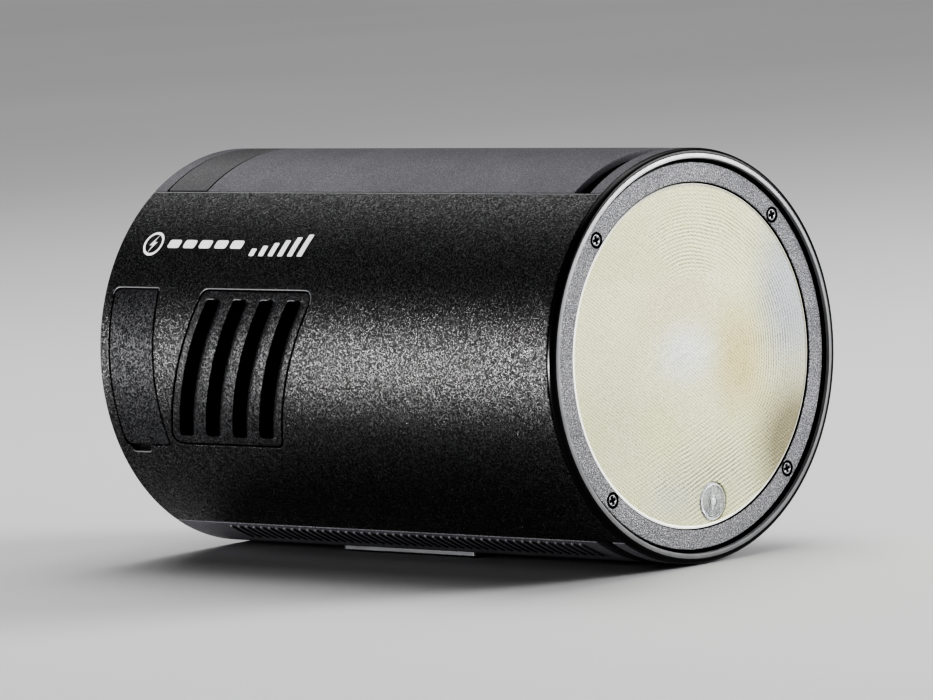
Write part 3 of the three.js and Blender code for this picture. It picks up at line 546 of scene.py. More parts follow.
def lens_material():
    """Cream prismatic lens: a pale centre that is a painted highlight, warm patches, a grey far edge and a
    dark lower right that are painted shade, fine prisms and circular facets.
    """
    finish = Finish("lens_cream")
    y, z = (finish.add("SeparateXYZ", {0: finish.where}, axis) * (1 / MM) for axis in "YZ")
    radius = (y * y + z * z).math("SQRT")

    def patch(y0, z0, reach_y, reach_z):
        """1 at a spot on the lens, fading to 0 at its reach."""
        a, b = (y - y0) / reach_y, (z - z0) / reach_z
        return finish.remap((a * a + b * b).math("SQRT"), 0.0, 1.0, 1.0, 0.0, "SMOOTHERSTEP")

    def wave(across, pitch_mm, phase=None):
        """Ridges along a direction across the lens."""
        turn = across * (2 * pi / pitch_mm)
        return (turn + phase if phase else turn).math("SINE")

    tint = finish.ramp(finish.noise(11.0), (0.35, (0.86, 0.85, 0.49)), (0.65, (0.92, 0.91, 0.6)))
    # Patches mixed into the tint: the near-white one at the centre is a painted highlight, the grey one at
    # the right edge and the dark one low right are painted shade; the others are warm and pale patches.
    for colour, amount, spot in (
            ((0.5, 0.53, 0.57), 1.1, (28, 9, 17, 27)),
            ((0.28, 0.25, 0.13), 1.25, (27, -20, 20, 21)),
            ((0.76, 0.64, 0.27), 0.9, (12, -2, 12, 16)),
            ((0.88, 0.74, 0.5), 0.6, (-2, 10, 18, 9)),
            ((0.97, 0.98, 0.95), 1.0, (-2.5, 1, 13, 9.5)),
            ((0.8, 0.82, 0.76), 0.7, (-7, -25, 13, 7)),
            ((0.72, 0.75, 0.5), 0.5, (-22, -10, 14, 18)),
            ((0.58, 0.6, 0.42), 0.5, (2, -24, 26, 13))):
        tint = finish.mix(tint, colour, patch(*spot) * amount)

    bend = finish.noise(7.0, 1.0)
    swirl = (finish.noise(12.0, 1.0) - 0.5) * 6.0
    rings = wave(radius, 0.7, bend * 6.0 + swirl)
    cross = wave(y + z * 0.3, 0.8, swirl)
    slant = wave(z - y * 0.36, 0.85, bend * 7.0)
    fade = finish.noise(5.0, 1.0) * 1.8 - 0.25
    right = (patch(22, 2, 16, 30) + patch(4, 22, 26, 13)) * fade
    low = patch(4, -22, 34, 17) * fade
    relief = rings * 0.6 * right + slant * 0.7 * low
    relief = relief + rings * cross * (patch(-1, 0, 16, 13) * 0.2)
    relief = relief + wave(y, 0.92) * wave(z, 0.66) * 0.3
    relief = relief + (finish.noise(0.35) - 0.5) * 1.3
    marks = finish.ramp(relief * 0.5 + 0.5, (0.1, (0.25, 0.25, 0.2)), (0.45, (0.86, 0.86, 0.8)),
                        (0.6, (1.05, 1.05, 1.02)), (0.9, (1.4, 1.4, 1.36)))
    finish.set(base_color=finish.mix(tint, marks, 1.0, "MULTIPLY"), roughness=0.32, coat=0.5,
               coat_roughness=0.06)
    finish.bump(relief, 0.1, 0.6)
    return finish.material


def lens_rim_highlight_material():
    """The lens's polished edge with a painted highlight: bright and glowing towards its lower left, and
    painted shade as dull cream on the other side.
    """
    finish = Finish("lens_edge")
    lower_left = (0, -0.85, -0.53)
    along = finish.add("VectorMath", {0: finish.where, 1: lower_left}, "Value", operation="DOT_PRODUCT")
    share = finish.remap(along, -16 * MM, 22 * MM, kind="SMOOTHSTEP")
    mottle = finish.noise(1.5)
    dull = finish.ramp(mottle, (0.3, (0.5, 0.49, 0.4)), (0.7, (0.62, 0.61, 0.5)))
    bright = finish.ramp(mottle, (0.3, (0.9, 0.9, 0.88)), (0.7, (0.97, 0.97, 0.95)))
    colour = finish.mix(dull, bright, share)
    # The glow is painted light: emission that rises towards the lower left, with no lamp behind it.
    finish.set(base_color=colour, glow_color=colour, glow=share * 0.75, roughness=0.2, coat=0.8)
    finish.bump(mottle, 0.01, 0.5)
    return finish.material


PEBBLES = {"grain_mm": 0.24, "contrast": 0.16}
SIDE = grained("side_plastic", (0.0036, 0.0036, 0.004), 0.33, depth_mm=0.09, fleck=2.0, shine=0.42, spark=1.6,
               **PEBBLES)
FLAP = grained("flap_rubber", (0.009, 0.009, 0.0105), 0.47, depth_mm=0.065, fleck=1.7, shine=0.3, spark=1.1,
               **PEBBLES)
# The grille's colour is painted shade below radius 37.95 mm: it darkens to black at 36.6 mm down its slots'
# eased sides.
GRILLE = grained("grille_plastic", (0.005, 0.005, 0.006), 0.44, depth_mm=0.08, fleck=2.0, shine=0.34,
                 spark=1.3, sink=(36.6, 37.95), **PEBBLES)
BEZEL = grained("bezel_paint", (0.225, 0.225, 0.236), 0.42, depth_mm=0.24, fleck=1.5, metal=0.45, **PEBBLES)
BAND = grained("band_plastic", (0.094, 0.092, 0.102), 0.5, 0.22, 0.035, fleck=1.08, shine=0.25)
WINDOW = grained("window_plastic", (0.063, 0.062, 0.065), 0.45, 0.22, 0.025, fleck=1.08, shine=0.2)
PANEL = grained("panel_plastic", (0.014, 0.014, 0.016), 0.46, 0.26, 0.1, fleck=1.6)
INNER = grained("inner_plastic", (0.012, 0.012, 0.013), 0.6, 0.5, 0.05, fleck=1.2, shine=0.2)
# Painted highlight: a light grey for the thin lines laid along opening edges and the seam, where the real
# edges catch light.
EDGE = smooth("painted_edge_highlight", (0.13, 0.13, 0.135), 0.35)
RIM = smooth("rim_gloss", (0.003, 0.003, 0.0035), 0.22, shine=0.13)
LIP = smooth("lip_satin", (0.25, 0.25, 0.258), 0.42, metal=0.8)
KEY = smooth("key_rubber", (0.03, 0.03, 0.032), 0.55)
DIAL = smooth("dial_plastic", (0.02, 0.02, 0.022), 0.35)
STEEL = smooth("screw_steel", (0.3, 0.3, 0.31), 0.34, metal=1.0)
DARK_STEEL = smooth("dark_steel", (0.1, 0.1, 0.105), 0.35, metal=0.9)
FOOT = smooth("plate_aluminium", (0.045, 0.045, 0.048), 0.36, metal=0.7, scratch=0.004, stretch=(0.05, 1, 1))
FIN = smooth("sink_aluminium", (0.3, 0.3, 0.31), 0.4, metal=1.0)
BRASS = smooth("socket_brass", (0.6, 0.44, 0.2), 0.3, metal=1.0)
GOLD = smooth("contact_gold", (0.83, 0.6, 0.24), 0.22, metal=1.0)
COPPER = smooth("copper_winding", (0.6, 0.28, 0.1), 0.35, metal=0.9, stretch=(1, 1, 8))
CERAMIC = smooth("white_ceramic", (0.8, 0.79, 0.75), 0.45)
BOARD = smooth("circuit_board", (0.01, 0.09, 0.045), 0.4, vary=0.35, size_mm=2.0, coat=0.4)
WRAP = smooth("cell_wrap", (0.03, 0.09, 0.24), 0.3, coat=0.5)
SLEEVE = smooth("capacitor_sleeve", (0.012, 0.02, 0.06), 0.35, coat=0.3)
PRINT = smooth("white_print", (0.72, 0.72, 0.72), 0.5)
AMBER = smooth("amber_print", (0.75, 0.25, 0.03), 0.5)
SEAL = smooth("seal_rubber", (0.02, 0.02, 0.02), 0.7)
MIRROR = smooth("bright_reflector", (0.9, 0.9, 0.9), 0.12, metal=1.0)
# Painted shade: a near-black laid in recesses, gaps, screw drives and behind the vent, where the real
# surfaces lie in shadow.
SHADE_BLACK = smooth("painted_shade_black", (0.002, 0.002, 0.002), 0.9, shine=0.05)
LENS = lens_material()
LENS_RIM_HIGHLIGHT = lens_rim_highlight_material()
# Painted glow: the modelling lamp's cup gives off light of its own to look bright, with no lit lamp behind
# it.
LAMP_CUP_GLOW = smooth("lamp_cup_painted_glow", (0.9, 0.92, 0.95), 0.4, glow=0.7)
TUBE_GLASS = clear_glass("tube_glass", (0.95, 0.95, 0.93), 0.03)
LAMP_GLASS = clear_glass("lamp_glass", (0.96, 0.97, 0.97), 0.07)
DISPLAY_GLASS = smooth("display_glass", (0.006, 0.007, 0.009), 0.07, coat=1.0)
LCD = smooth("display_panel", (0.1, 0.125, 0.115), 0.4)
LCD_INK = smooth("display_ink", (0.02, 0.024, 0.022), 0.45)


# ---- front end ----

def screw(name, place, head_r, material, turn):
    """A cross-recessed pan head over a black disc of painted shade that fills its drive, in place of a CAD
    screw.
    """
    blade, reach = head_r * 0.25, head_r * 0.76
    cross = []
    for k in range(4):
        at = radians(turn - 90 * k)
        for u, v in ((blade, reach), (blade, blade), (reach, blade)):
            cross.append((u * cos(at) - v * sin(at), u * sin(at) + v * cos(at)))
    plate(name + "_drive_shade", circle(0, 0, head_r * 0.94, 36), place, SHADE_BLACK, low=-0.95, high=-0.35, edge=0)
    lay(name + "_head", [
        slab(circle(0, 0, head_r, 36), [cross], low=-0.33, edge=head_r * 0.12),
        slab(circle(0, 0, head_r * 0.5, 24), low=-4.5, high=-0.97, edge=0)], place, material, stands_for=name)


def front_rim():
    """The glossy ring, and the satin lip on its front edge."""
    lip_r, nose_r, bore_r = 35.95, 37.0, 35.0
    ring = [(lip_r, FRONT - 0.7), (lip_r + 0.55, FRONT - 0.12), (nose_r - 0.1, FRONT - 0.12)]
    ring += arc(nose_r, FRONT - 1.0, 1.0, 64, 0, 8)
    ring += [(BARREL_R, SHELL_FRONT + 0.25), (BARREL_R - 0.1, SHELL_FRONT + 0.15),
             (nose_r, SHELL_FRONT + 0.15), (nose_r, 57.05), (36.0, 57.05), (36.0, 46), (bore_r, 46),
             (bore_r, 52.6), (31.0, 52.6), (31.0, 54.4), (35.5, 54.4), (35.5, 57.6), (lip_r, 58.2)]
    turned("front_rim_ring", ring, RIM, steps=144, stands_for="front_rim")
    lip = [(36.0, FRONT - 0.55), (36.1, FRONT - 0.08), (36.2, FRONT + 0.02), (36.6, FRONT + 0.02),
           (37.0, FRONT - 0.12), (37.05, FRONT - 0.2), (37.02, FRONT - 0.35), (36.1, FRONT - 0.65)]
    turned("front_rim_lip_face", lip, LIP, steps=144)


def bezel():
    """The painted ring round the lens, its seat, and its four screws."""
    face, screw_ring = 59.0, 33.35
    spots = [(screw_ring * cos(radians(a)), screw_ring * sin(radians(a))) for a in (45, 135, 225, 315)]
    holes = [circle(0, 0, 31.78, 144)] + [circle(*spot, 1.32, 28) for spot in spots]
    plate("lens_bezel_ring", circle(0, 0, 35.4, 144), facing_x(face), BEZEL, holes, low=-1.1, edge=0.22,
          stands_for="lens_bezel")
    seat = [(32.5, 54.6), (35.4, 54.6), (35.4, 57.85), (31.9, 57.85), (31.9, 57.4), (32.5, 57.4)]
    turned("lens_bezel_seat", seat, BEZEL)
    # Painted shade: a black ring in the gap between lens and bezel, where it lies in shadow.
    gap_shade = [(31.66, 57.95), (31.8, 57.95), (31.8, 58.84), (31.73, 58.88), (31.66, 58.82)]
    turned("lens_bezel_gap_shade", gap_shade, SHADE_BLACK, steps=144)
    for i, spot in enumerate(spots):
        name = f"bezel_screw_{i + 1}"
        screw(name, facing_x(face - 0.02, *spot), 1.05, STEEL, 90 * i + 12)
        # Painted shade: a black ring round each screw head for the shadow in its countersink.
        plate(name + "_recess", circle(0, 0, 1.52, 40), facing_x(face, *spot), SHADE_BLACK,
              holes=[circle(0, 0, 1.08, 40)], low=-0.6, high=0.03, edge=0.02, edge_steps=1)


def lens():
    """The domed lens with its polished edge, cut out for the modelling lamp's own lens and cup."""
    at, half = middle("modelling_lamp_lens")
    lamp_at, lamp_r = (at.y, at.z), half.y
    back, rings = 55.4, 42
    dome = [(0, back), (32.3, back), (32.3, 57.2), (31.55, 57.2), (31.55, LENS_EDGE - 0.25),
            (31.3, LENS_EDGE + 0.03)]
    for k in range(1, rings + 1):
        r = LENS_R * (1 - k / rings)
        facet = 0.03 if k % 2 and r < 13 else 0.0
        dome.append((r, LENS_EDGE + 0.05 + 0.75 * (1 - (r / LENS_R) ** 2) + facet))
    cover = turned("front_lens_prismatic", dome, LENS, steps=144, stands_for="front_lens")
    # The bevel ring carries the lens edge's painted highlight and glow.
    bevel = [(31.1, 0.1), (LENS_R, 0.13), (31.42, 0.1), (31.58, -0.04), (31.62, -0.2), (31.62, -1.35),
             (31.1, -1.35)]
    turned("lens_edge_bevel", [(r, LENS_EDGE + rise) for r, rise in bevel], LENS_RIM_HIGHLIGHT, steps=144)

    bm = bmesh.new()
    hole_r = (lamp_r + 0.1) * MM
    bmesh.ops.create_cone(bm, cap_ends=True, segments=48, radius1=hole_r, radius2=hole_r, depth=20 * MM)
    bmesh.ops.rotate(bm, verts=bm.verts, matrix=Matrix.Rotation(pi / 2, 3, "Y"))
    bmesh.ops.translate(bm, verts=bm.verts, vec=Vector((57, *lamp_at)) * MM)
    cut_out(cover, bm)

    face, rim_r, eye_r = 58.6, lamp_r - 0.1, lamp_r * 0.24
    lamp = [(0, back), (rim_r, back), (rim_r, face)]
    for k in range(1, 5):
        lamp.append((rim_r - 0.5 * k / 4, face + 0.4 * sin(pi / 2 * k / 4)))
    for k in range(6):
        ridge_r = rim_r - 0.62 - 0.32 * k
        lamp += [(ridge_r, face + 0.1), (ridge_r - 0.16, face + 0.34)]
    for k in range(6):
        turn = pi / 2 * k / 6
        lamp.append((eye_r * cos(turn), face + 0.1 + 0.4 * sin(turn)))
    lamp.append((0, face + 0.5))
    turned("modelling_lamp_lenslet", lamp, LAMP_GLASS, centre=lamp_at, steps=64,
           stands_for="modelling_lamp_lens")
    # The cup wears painted glow: it shines by emission alone.
    cup = [(lamp_r, 52.5), (lamp_r + 0.1, 52.5), (lamp_r + 0.1, 55.3), (1.4, 53.2), (0, 53.2), (0, 52.5)]
    turned("modelling_lamp_cup", cup, LAMP_CUP_GLOW, centre=lamp_at, steps=48)


def cut_out(piece, bm):
    """Cut a bmesh out of a piece."""
    cutter = bpy.data.objects.new("cutter", bpy.data.meshes.new("cutter"))
    bm.to_mesh(cutter.data)
    bm.free()
    bpy.context.scene.collection.objects.link(cutter)
    modifier = piece.modifiers.new("cut", "BOOLEAN")
    modifier.operation = "DIFFERENCE"
    modifier.object = cutter
    modifier.solver = "EXACT"
    bpy.context.view_layer.update()
    result = bpy.data.meshes.new_from_object(piece.evaluated_get(bpy.context.evaluated_depsgraph_get()))
    piece.modifiers.clear()
    material = piece.data.materials[0]
    piece.data = result
    result.materials.clear()
    result.materials.append(material)
    bpy.data.objects.remove(cutter)


def optics():
    """The reflector bowl, and the flash tube bent into a ring in front of it."""
    bowl = [(9, 34.0), (16, 34.9), (20, 36.5), (24.2, 39.8), (27.4, 44.0), (29.4, 49.0), (30.6, 53.9)]
    inside = [(r - 0.35, x + 0.7) for r, x in bowl]
    turned("reflector_bowl", bowl + inside[::-1], MIRROR, stands_for="reflector")
    ring_r, gap_half, ring_x, foot_x = 6.2, 25, 41.5, 33
    ring = [(ring_x, ring_r * sin(radians(a)), -ring_r * cos(radians(a)))
            for a in (gap_half + (360 - 2 * gap_half) * k / 40 for k in range(41))]
    feet = [(foot_x, y, ring[0][2]) for y in (ring[0][1], -ring[0][1])]
    wire("flash_tube_ring", [feet[0], *ring, feet[1]], 1.6, TUBE_GLASS, 16, "flash_tube")


# ---- barrel ----

SKIN_LOW, SKIN_HIGH = -1.8, -1.2  # the thin inner skin that closes the gaps between a shell's slabs


def side_shell(side, a0, a1, holes, skin_holes, skin_high):
    """A grained shell between two angles, over its inner skin."""
    skin = strip(SHELL_BACK + 0.2, SHELL_LAP - 0.1, a0 + 0.2, a1 - 0.2)
    lay(side + "_side_shell_grained", [
        slab(strip(SHELL_BACK, SHELL_FRONT, a0, a1), holes, low=-0.8, edge=0.22),
        slab(skin, skin_holes, low=SKIN_LOW, high=skin_high, edge=0)],
        on_barrel, SIDE, stands_for=side + "_side_shell", angles=(a0, a1))


def bands():
    """Top and bottom covers: satin strips with an accessory slot across the front."""
    low, high = PLATE
    foot = rectangle(low.x - 0.3, high.x + 0.3, 180 * ARC - 8.3, 180 * ARC + 8.3, 1.2)
    for name, centre, rear, holes in (("top_cover", 0, WINDOW_X[1] + 0.3, []),
                                      ("bottom_cover", 180, SHELL_BACK, [foot])):
        a0, a1 = centre - BAND_HALF, centre + BAND_HALF
        slabs = [slab(strip(rear, SLOT_X[0], a0, a1), holes, low=-1.2, edge=0.12),
                 slab(strip(SLOT_X[1], SHELL_FRONT, a0, a1), low=-0.8, edge=0.18),
                 slab(strip(SHELL_BACK + 0.3, SLOT_X[0] - 0.2, a0 + 0.3, a1 - 0.3), holes, low=SKIN_LOW,
                      high=SKIN_HIGH - 0.05, edge=0)]
        if centre == 0:
            slabs.append(slab(strip(SHELL_BACK, WINDOW_X[0] - 0.3, a0, a1), low=-1.2, edge=0.1))
        lay(name + "_shell", slabs, on_barrel, BAND, stands_for=name, angles=(a0, a1))
        # Painted shade: the slot's floor is black where the band's own plastic lies in shadow.
        floor = strip(SLOT_X[0] - 0.15, SHELL_LAP - 0.1, a0 + 0.1, a1 - 0.1)
        plate(name + "_slot_floor_shade", floor, on_barrel, SHADE_BLACK, low=SKIN_LOW, high=SKIN_HIGH - 0.07, edge=0,
              slot="band_plastic", angles=(a0, a1))
    plate("sensor_window_cap", strip(*WINDOW_X, 0.35 - BAND_HALF, BAND_HALF - 0.35, 0.3), on_barrel, WINDOW,
          low=-1.0, edge=0.08, stands_for="sensor_window", angles=(-BAND_HALF, BAND_HALF))
    pitch, width, first, count = 2.1, 1.0, 47.2, 45
    for side, angles in (("right", (148.2, 158.0)), ("left", (202.0, 211.8))):
        fronts = [first - pitch * k for k in range(count)]
        lay(f"grip_ribs_{side}", [slab(strip(x - width, x, *angles, 0.45), low=-0.1, high=0.38, edge=0.3)
                                  for x in fronts], on_barrel, BAND, angles=angles)


def right_side():
    """The grained shell with the vent, the port flap and the printed marks."""
    a0, a1 = SIDE_START, 180 - SIDE_START
    gap = 0.28
    vent_hole = slanted(VENT_BACK - gap, VENT_BACK + VENT_WIDTH + gap, VENT_TOP - gap / ARC,
                        VENT_BOTTOM + gap / ARC, 1.9)
    port_hole = port_outline(-0.22, 1.4)
    usb_u, usb_v, jack_u, jack_v = USB_SPOT[0], USB_SPOT[1] * ARC, JACK_SPOT[0], JACK_SPOT[1] * ARC
    skin_holes = [vent_hole, box(1.75, 7.1 * ARC, 1.2, usb_u, usb_v), circle(jack_u, jack_v, 2.9, 32)]
    side_shell("right", a0, a1, [vent_hole, port_hole], skin_holes, SKIN_HIGH)

    backs = [VENT_BACK + VENT_MARGIN + VENT_PITCH * i for i in range(4)]
    slot_top, slot_bottom = VENT_TOP + 2.6, VENT_BOTTOM - 2.6
    openings = [slanted(back, back + VENT_SLOT, slot_top, slot_bottom, 0.5, 4) for back in backs]
    grille = slanted(VENT_BACK, VENT_BACK + VENT_WIDTH, VENT_TOP, VENT_BOTTOM, 1.7)
    plate("vent_grille_frame", grille, on_barrel, GRILLE, openings, low=-1.9, high=-0.05, edge=0.2,
          edge_steps=5, ease=2.5, stands_for="vent_grille", angles=(VENT_TOP, VENT_BOTTOM))
    # Painted highlights: thin light lines along the seam and the upper edges of the vent, port and slot
    # openings.
    seam_highlight = strip(SHELL_BACK + 0.4, SHELL_FRONT - 0.1, a0 + 0.02, a0 + 0.38)
    highlight_lines = [highlight_line(vent_hole, 0, 12), highlight_line(port_hole, 0, 10), highlight_line(port_hole, 20, 30, 0.2),
             slab(seam_highlight, low=-0.2, high=0.02, edge=0.05)]
    highlight_lines += [highlight_line(opening, 1, 7, 0.2) for opening in openings]
    lay("opening_edge_painted_highlights", highlight_lines, on_barrel, EDGE, angles=(33, 118))
    # Painted shade: the slats behind the vent slots are black for the shadow inside the vent.
    lay("vent_louvres_shade", [louvre(back + 1.35, back + VENT_SLOT + 1.8) for back in backs], on_barrel, SHADE_BLACK,
        angles=(69, 111))

    lay("port_cover_flap", [
        slab(port_outline(0.0), low=-1.05, edge=0.22),
        slab(box(0.85, 4.9 * ARC, 0.7, usb_u, usb_v), low=-2.4, high=-1.1, edge=0),
        slab(circle(jack_u, jack_v, 1.35, 20), low=-2.4, high=-1.1, edge=0)],
        on_barrel, FLAP, "port_flap", "port_cover", angles=PORT_ANGLES)
    printed_marks()


def highlight_line(loop, start, stop, width=0.24):
    """A thin proud line along part of an opening's edge, lighter than the shell: a painted highlight where
    the edge catches light.
    """
    outer = inset(loop, -width if area(loop) > 0 else width)
    return slab(loop[start:stop] + outer[start:stop][::-1], low=-0.3, high=0.05, edge=0.06, edge_steps=2)


def port_outline(grow, notch=0.0):
    """The flap's outline, or with a notch the opening's, which has a finger notch below the flap."""
    x0, x1 = PORT_X[0] + grow, PORT_X[1] - grow
    v0, v1 = PORT_ANGLES[0] * ARC + grow, PORT_ANGLES[1] * ARC - grow
    if not notch:
        return fillet([(x0, v0), (x1, v0), (x1, v1), (x0, v1)], [1.3, 0.5, 0.8, 1.6], 4)
    n0, n1 = x0 + 0.9, x1 - 5.9
    points = [(x0, v0), (x1, v0), (x1, v1), (n1, v1), (n1 - 0.5, v1 + notch), (n0 + 0.5, v1 + notch),
              (n0, v1), (x0, v1)]
    return fillet(points, [1.3, 0.5, 0.8, 0.2, 0.6, 0.6, 0.2, 1.2], 4)


def louvre(x0, x1):
    """A sloped slat behind one vent slot, flush at the slot's front side and sunk at its rear side."""
    shallow, fall, lap = 0.35, 3.4, 2.1

    def slope(spot):
        lean = VENT_SLANT * (spot.y / ARC - VENT_TOP)
        share = min(1.0, max(0.0, (spot.x - lean - x0) / (x1 - x0)))
        return spot - Z * (fall * (1 - share) + shallow)

    slat = slanted(x0, x1, VENT_TOP + lap, VENT_BOTTOM - lap, 0.3, 2)
    return slab(slat, low=-1.6, high=-0.95, edge=0, warp=slope)


INK = {"low": -0.05, "high": 0.03, "edge": 0}


def printed_marks():
    """Generic white marks where the maker's lettering would be: a bolt in a ring, and plain bars."""
    line, ring_u, ring_r, lean = 53.2 * ARC, -50.6, 2.4, 0.22
    bolt = [(0.75, -1.9), (-0.95, 0.35), (-0.1, 0.35), (-0.75, 1.9), (0.95, -0.35), (0.1, -0.35)]
    slabs = [slab(circle(ring_u, line, ring_r + 0.2, 40), [circle(ring_u, line, ring_r - 0.35, 40)], **INK),
             slab([(ring_u + a, line + b) for a, b in bolt], **INK)]
    bars = [(-46.4 + 4.3 * k, 3.3, -0.9, 0.9, 0.5) for k in range(5)]
    for k in range(6):
        bars.append((-22.9 + 2.6 * k, 1.4, ring_r - 2 * (0.8 + 0.32 * k), ring_r, 0.25))
    for x, width, v0, v1, radius in bars:
        corners = [(x, v0), (x + width, v0), (x + width, v1), (x, v1)]
        slabs.append(slab(fillet([(u - lean * v, line + v) for u, v in corners], radius, 3), **INK))
    lay("printed_marks", slabs, on_barrel, PRINT, angles=(48, 58))


def left_side():
    """The shell round the battery, the battery's own cover, and its release."""
    a0, a1 = SIDE_START - 180, -SIDE_START
    pack, latch = (-90 - PACK_HALF, -90 + PACK_HALF), (-90 - LATCH_HALF, -90 + LATCH_HALF)
    gap = 0.3

    def opening(radius):
        return strip(PACK_X[0] - gap, PACK_X[1] + gap, pack[0] - gap, pack[1] + gap, radius)

    release = strip(LATCH_X[0] - 0.4, LATCH_X[1] + LATCH_TRAVEL + 0.5, latch[0] - 0.5, latch[1] + 0.5, 1.3)
    side_shell("left", a0, a1, [opening(2.4), release], [opening(0.4), release], -0.85)
    plate("battery_cover_skin", strip(*PACK_X, *pack, 2.1), on_barrel, SIDE, body="battery",
          stands_for="battery_cover", low=-1.65, edge=0.28, angles=pack)
    fronts = [PACK_X[1] - 6.4 + 1.15 * k for k in range(5)]
    grip_half = 12
    lines = [strip(x, x + 0.62, -90 - grip_half, -90 + grip_half, 0.3) for x in fronts]
    lay("battery_grip_lines", [slab(line, low=-0.1, high=0.3, edge=0.22) for line in lines], on_barrel, SIDE,
        "battery", angles=(-91 - grip_half, -89 + grip_half))
    slabs = [slab(strip(*LATCH_X, *latch, 1.1), low=-2.0, high=-0.55, edge=0.3)]
    for x in (LATCH_X[0] + 1.35 + 1.45 * k for k in range(5)):
        rib = strip(x, x + 0.7, latch[0] + 1.6, latch[1] - 1.6, 0.3)
        slabs.append(slab(rib, low=-0.6, high=-0.02, edge=0.25))
    lay("battery_latch_slider", slabs, on_barrel, FLAP, "latch", "battery_latch", angles=latch)


def foot_plate():
    """The flat metal foot with its quarter-inch socket and two screws."""
    low, high = PLATE
    socket_x = (low.x + high.x) / 2
    screws = {"rear": low.x + 4.5, "front": high.x - 4.5}
    plate("socket_plate_foot", rectangle(low.x, high.x, low.y, high.y, 1.0), facing_down(0, low.z), FOOT,
          [circle(socket_x, 0, 5.2)] + [circle(x, 0, 1.85, 32) for x in screws.values()], low=-2.8, edge=0.2,
          stands_for="socket_plate")
    depth, pitch, bore_r, crest_r = 4.6, 1.27 / 2, 3.15, 2.62
    thread = [(4.95, depth), (4.95, 0.12), (4.83, 0), (3.5, 0), (3.18, 0.32)]
    for k in range(6):
        rise = 0.45 + k * pitch
        thread += [(bore_r, rise), (crest_r, rise + pitch * 0.45), (crest_r, rise + pitch * 0.55)]
    thread += [(crest_r, depth - 0.35), (0, depth - 0.35), (0, depth)]
    turned("stand_socket_thread", thread, BRASS, centre=(socket_x, 0), axis="z", steps=64, origin=low.z,
           stands_for="stand_socket")
    for end, x in screws.items():
        screw(f"plate_screw_{end}", facing_down(x, low.z + 0.05), 1.6, DARK_STEEL, 20)


# ---- rear panel ----

KEYS = ("lamp", "mode", "group", "test", "wireless", "menu")


def rear_panel():
    """The panel with its display, dial, keys and slide switch."""
    at, half = middle("display_window")
    screen_z, screen_w, screen_h = at.z, half.y, half.z
    panel_r, key_hole_r, dial_recess_r, shaft_hole_r = 35.85, 3.25, 11.4, 3.6
    dial_z = middle("select_dial")[0].z
    knob_at, knob_half = middle("power_switch")
    knob_z = knob_at.z
    spots = {key: (-middle(key + "_button")[0].y, middle(key + "_button")[0].z) for key in KEYS}
    holes = [box(screen_w + 0.15, screen_h + 0.15, 1.6, v=screen_z), circle(0, dial_z, dial_recess_r, 72),
             box(4.7, 2.1, 0.8, v=knob_z)] + [circle(*spot, key_hole_r, 40) for spot in spots.values()]
    plate("rear_panel_face", circle(0, 0, panel_r, 144), ON_REAR, PANEL, holes, low=-0.95, edge=0.25,
          stands_for="rear_panel")
    holes = [box(15.2, 10.2, 0.8, v=screen_z), circle(0, dial_z, shaft_hole_r, 32),
             box(4.75, 2.15, 0.8, v=knob_z)]
    holes += [circle(*spot, key_hole_r + 0.05, 32) for spot in spots.values()]
    plate("rear_panel_backing", circle(0, 0, panel_r - 0.05, 96), ON_REAR, PANEL, holes, low=-2.0, high=-1.0,
          edge=0)
    plate("rear_panel_rim_step", circle(0, 0, 35.2, 144), ON_REAR, PANEL, [circle(0, 0, 34.3, 144)],
          low=-0.05, high=0.25)
    glass = box(screen_w - 0.05, screen_h - 0.05, 1.45, v=screen_z)
    plate("display_window_glass", glass, ON_REAR, DISPLAY_GLASS, [box(13.6, 8.9, 0.5, v=screen_z)], low=-0.9,
          high=-0.03, stands_for="display_window")
    plate("display_cell", box(13.55, 8.85, 0.45, v=screen_z), ON_REAR, LCD, low=-0.9, high=-0.1, edge=0.05,
          stands_for="display_module")
    display_marks(screen_z)
    dial_and_set(dial_z)
    for key in KEYS:
        panel_key(key, *spots[key])
    power_switch(-knob_at.y, knob_z, knob_half.y - 1)


def display_marks(z):
    """A generic read-out in dark segments: a battery outline, rising bars, two rules and four key labels."""
    loops = [rectangle(8.55 + k, 9.3 + k, z + 6.1, z + 7.1) for k in range(3)]
    loops.append(rectangle(12.05, 12.5, z + 6.2, z + 7.0))
    for k in range(10):
        u = -12 + 1.75 * k
        loops.append(rectangle(u, u + 1.15, z - 3.2, z - 2.3 + 0.42 * k))
    loops += [box(12.2, 0.1, v=z + rise) for rise in (4.4, -4.5)]
    loops += [rectangle(u, u + 3.6, z - 7.2, z - 5.7, 0.3) for u in (-11.6 + 6.4 * k for k in range(4))]
    ink = {"low": -0.12, "high": -0.085, "edge": 0}
    cell = slab(rectangle(8, 12, z + 5.6, z + 7.6, 0.2), [rectangle(8.3, 11.7, z + 5.9, z + 7.3)], **ink)
    lay("display_segments", [cell] + [slab(loop, **ink) for loop in loops], ON_REAR, LCD_INK)


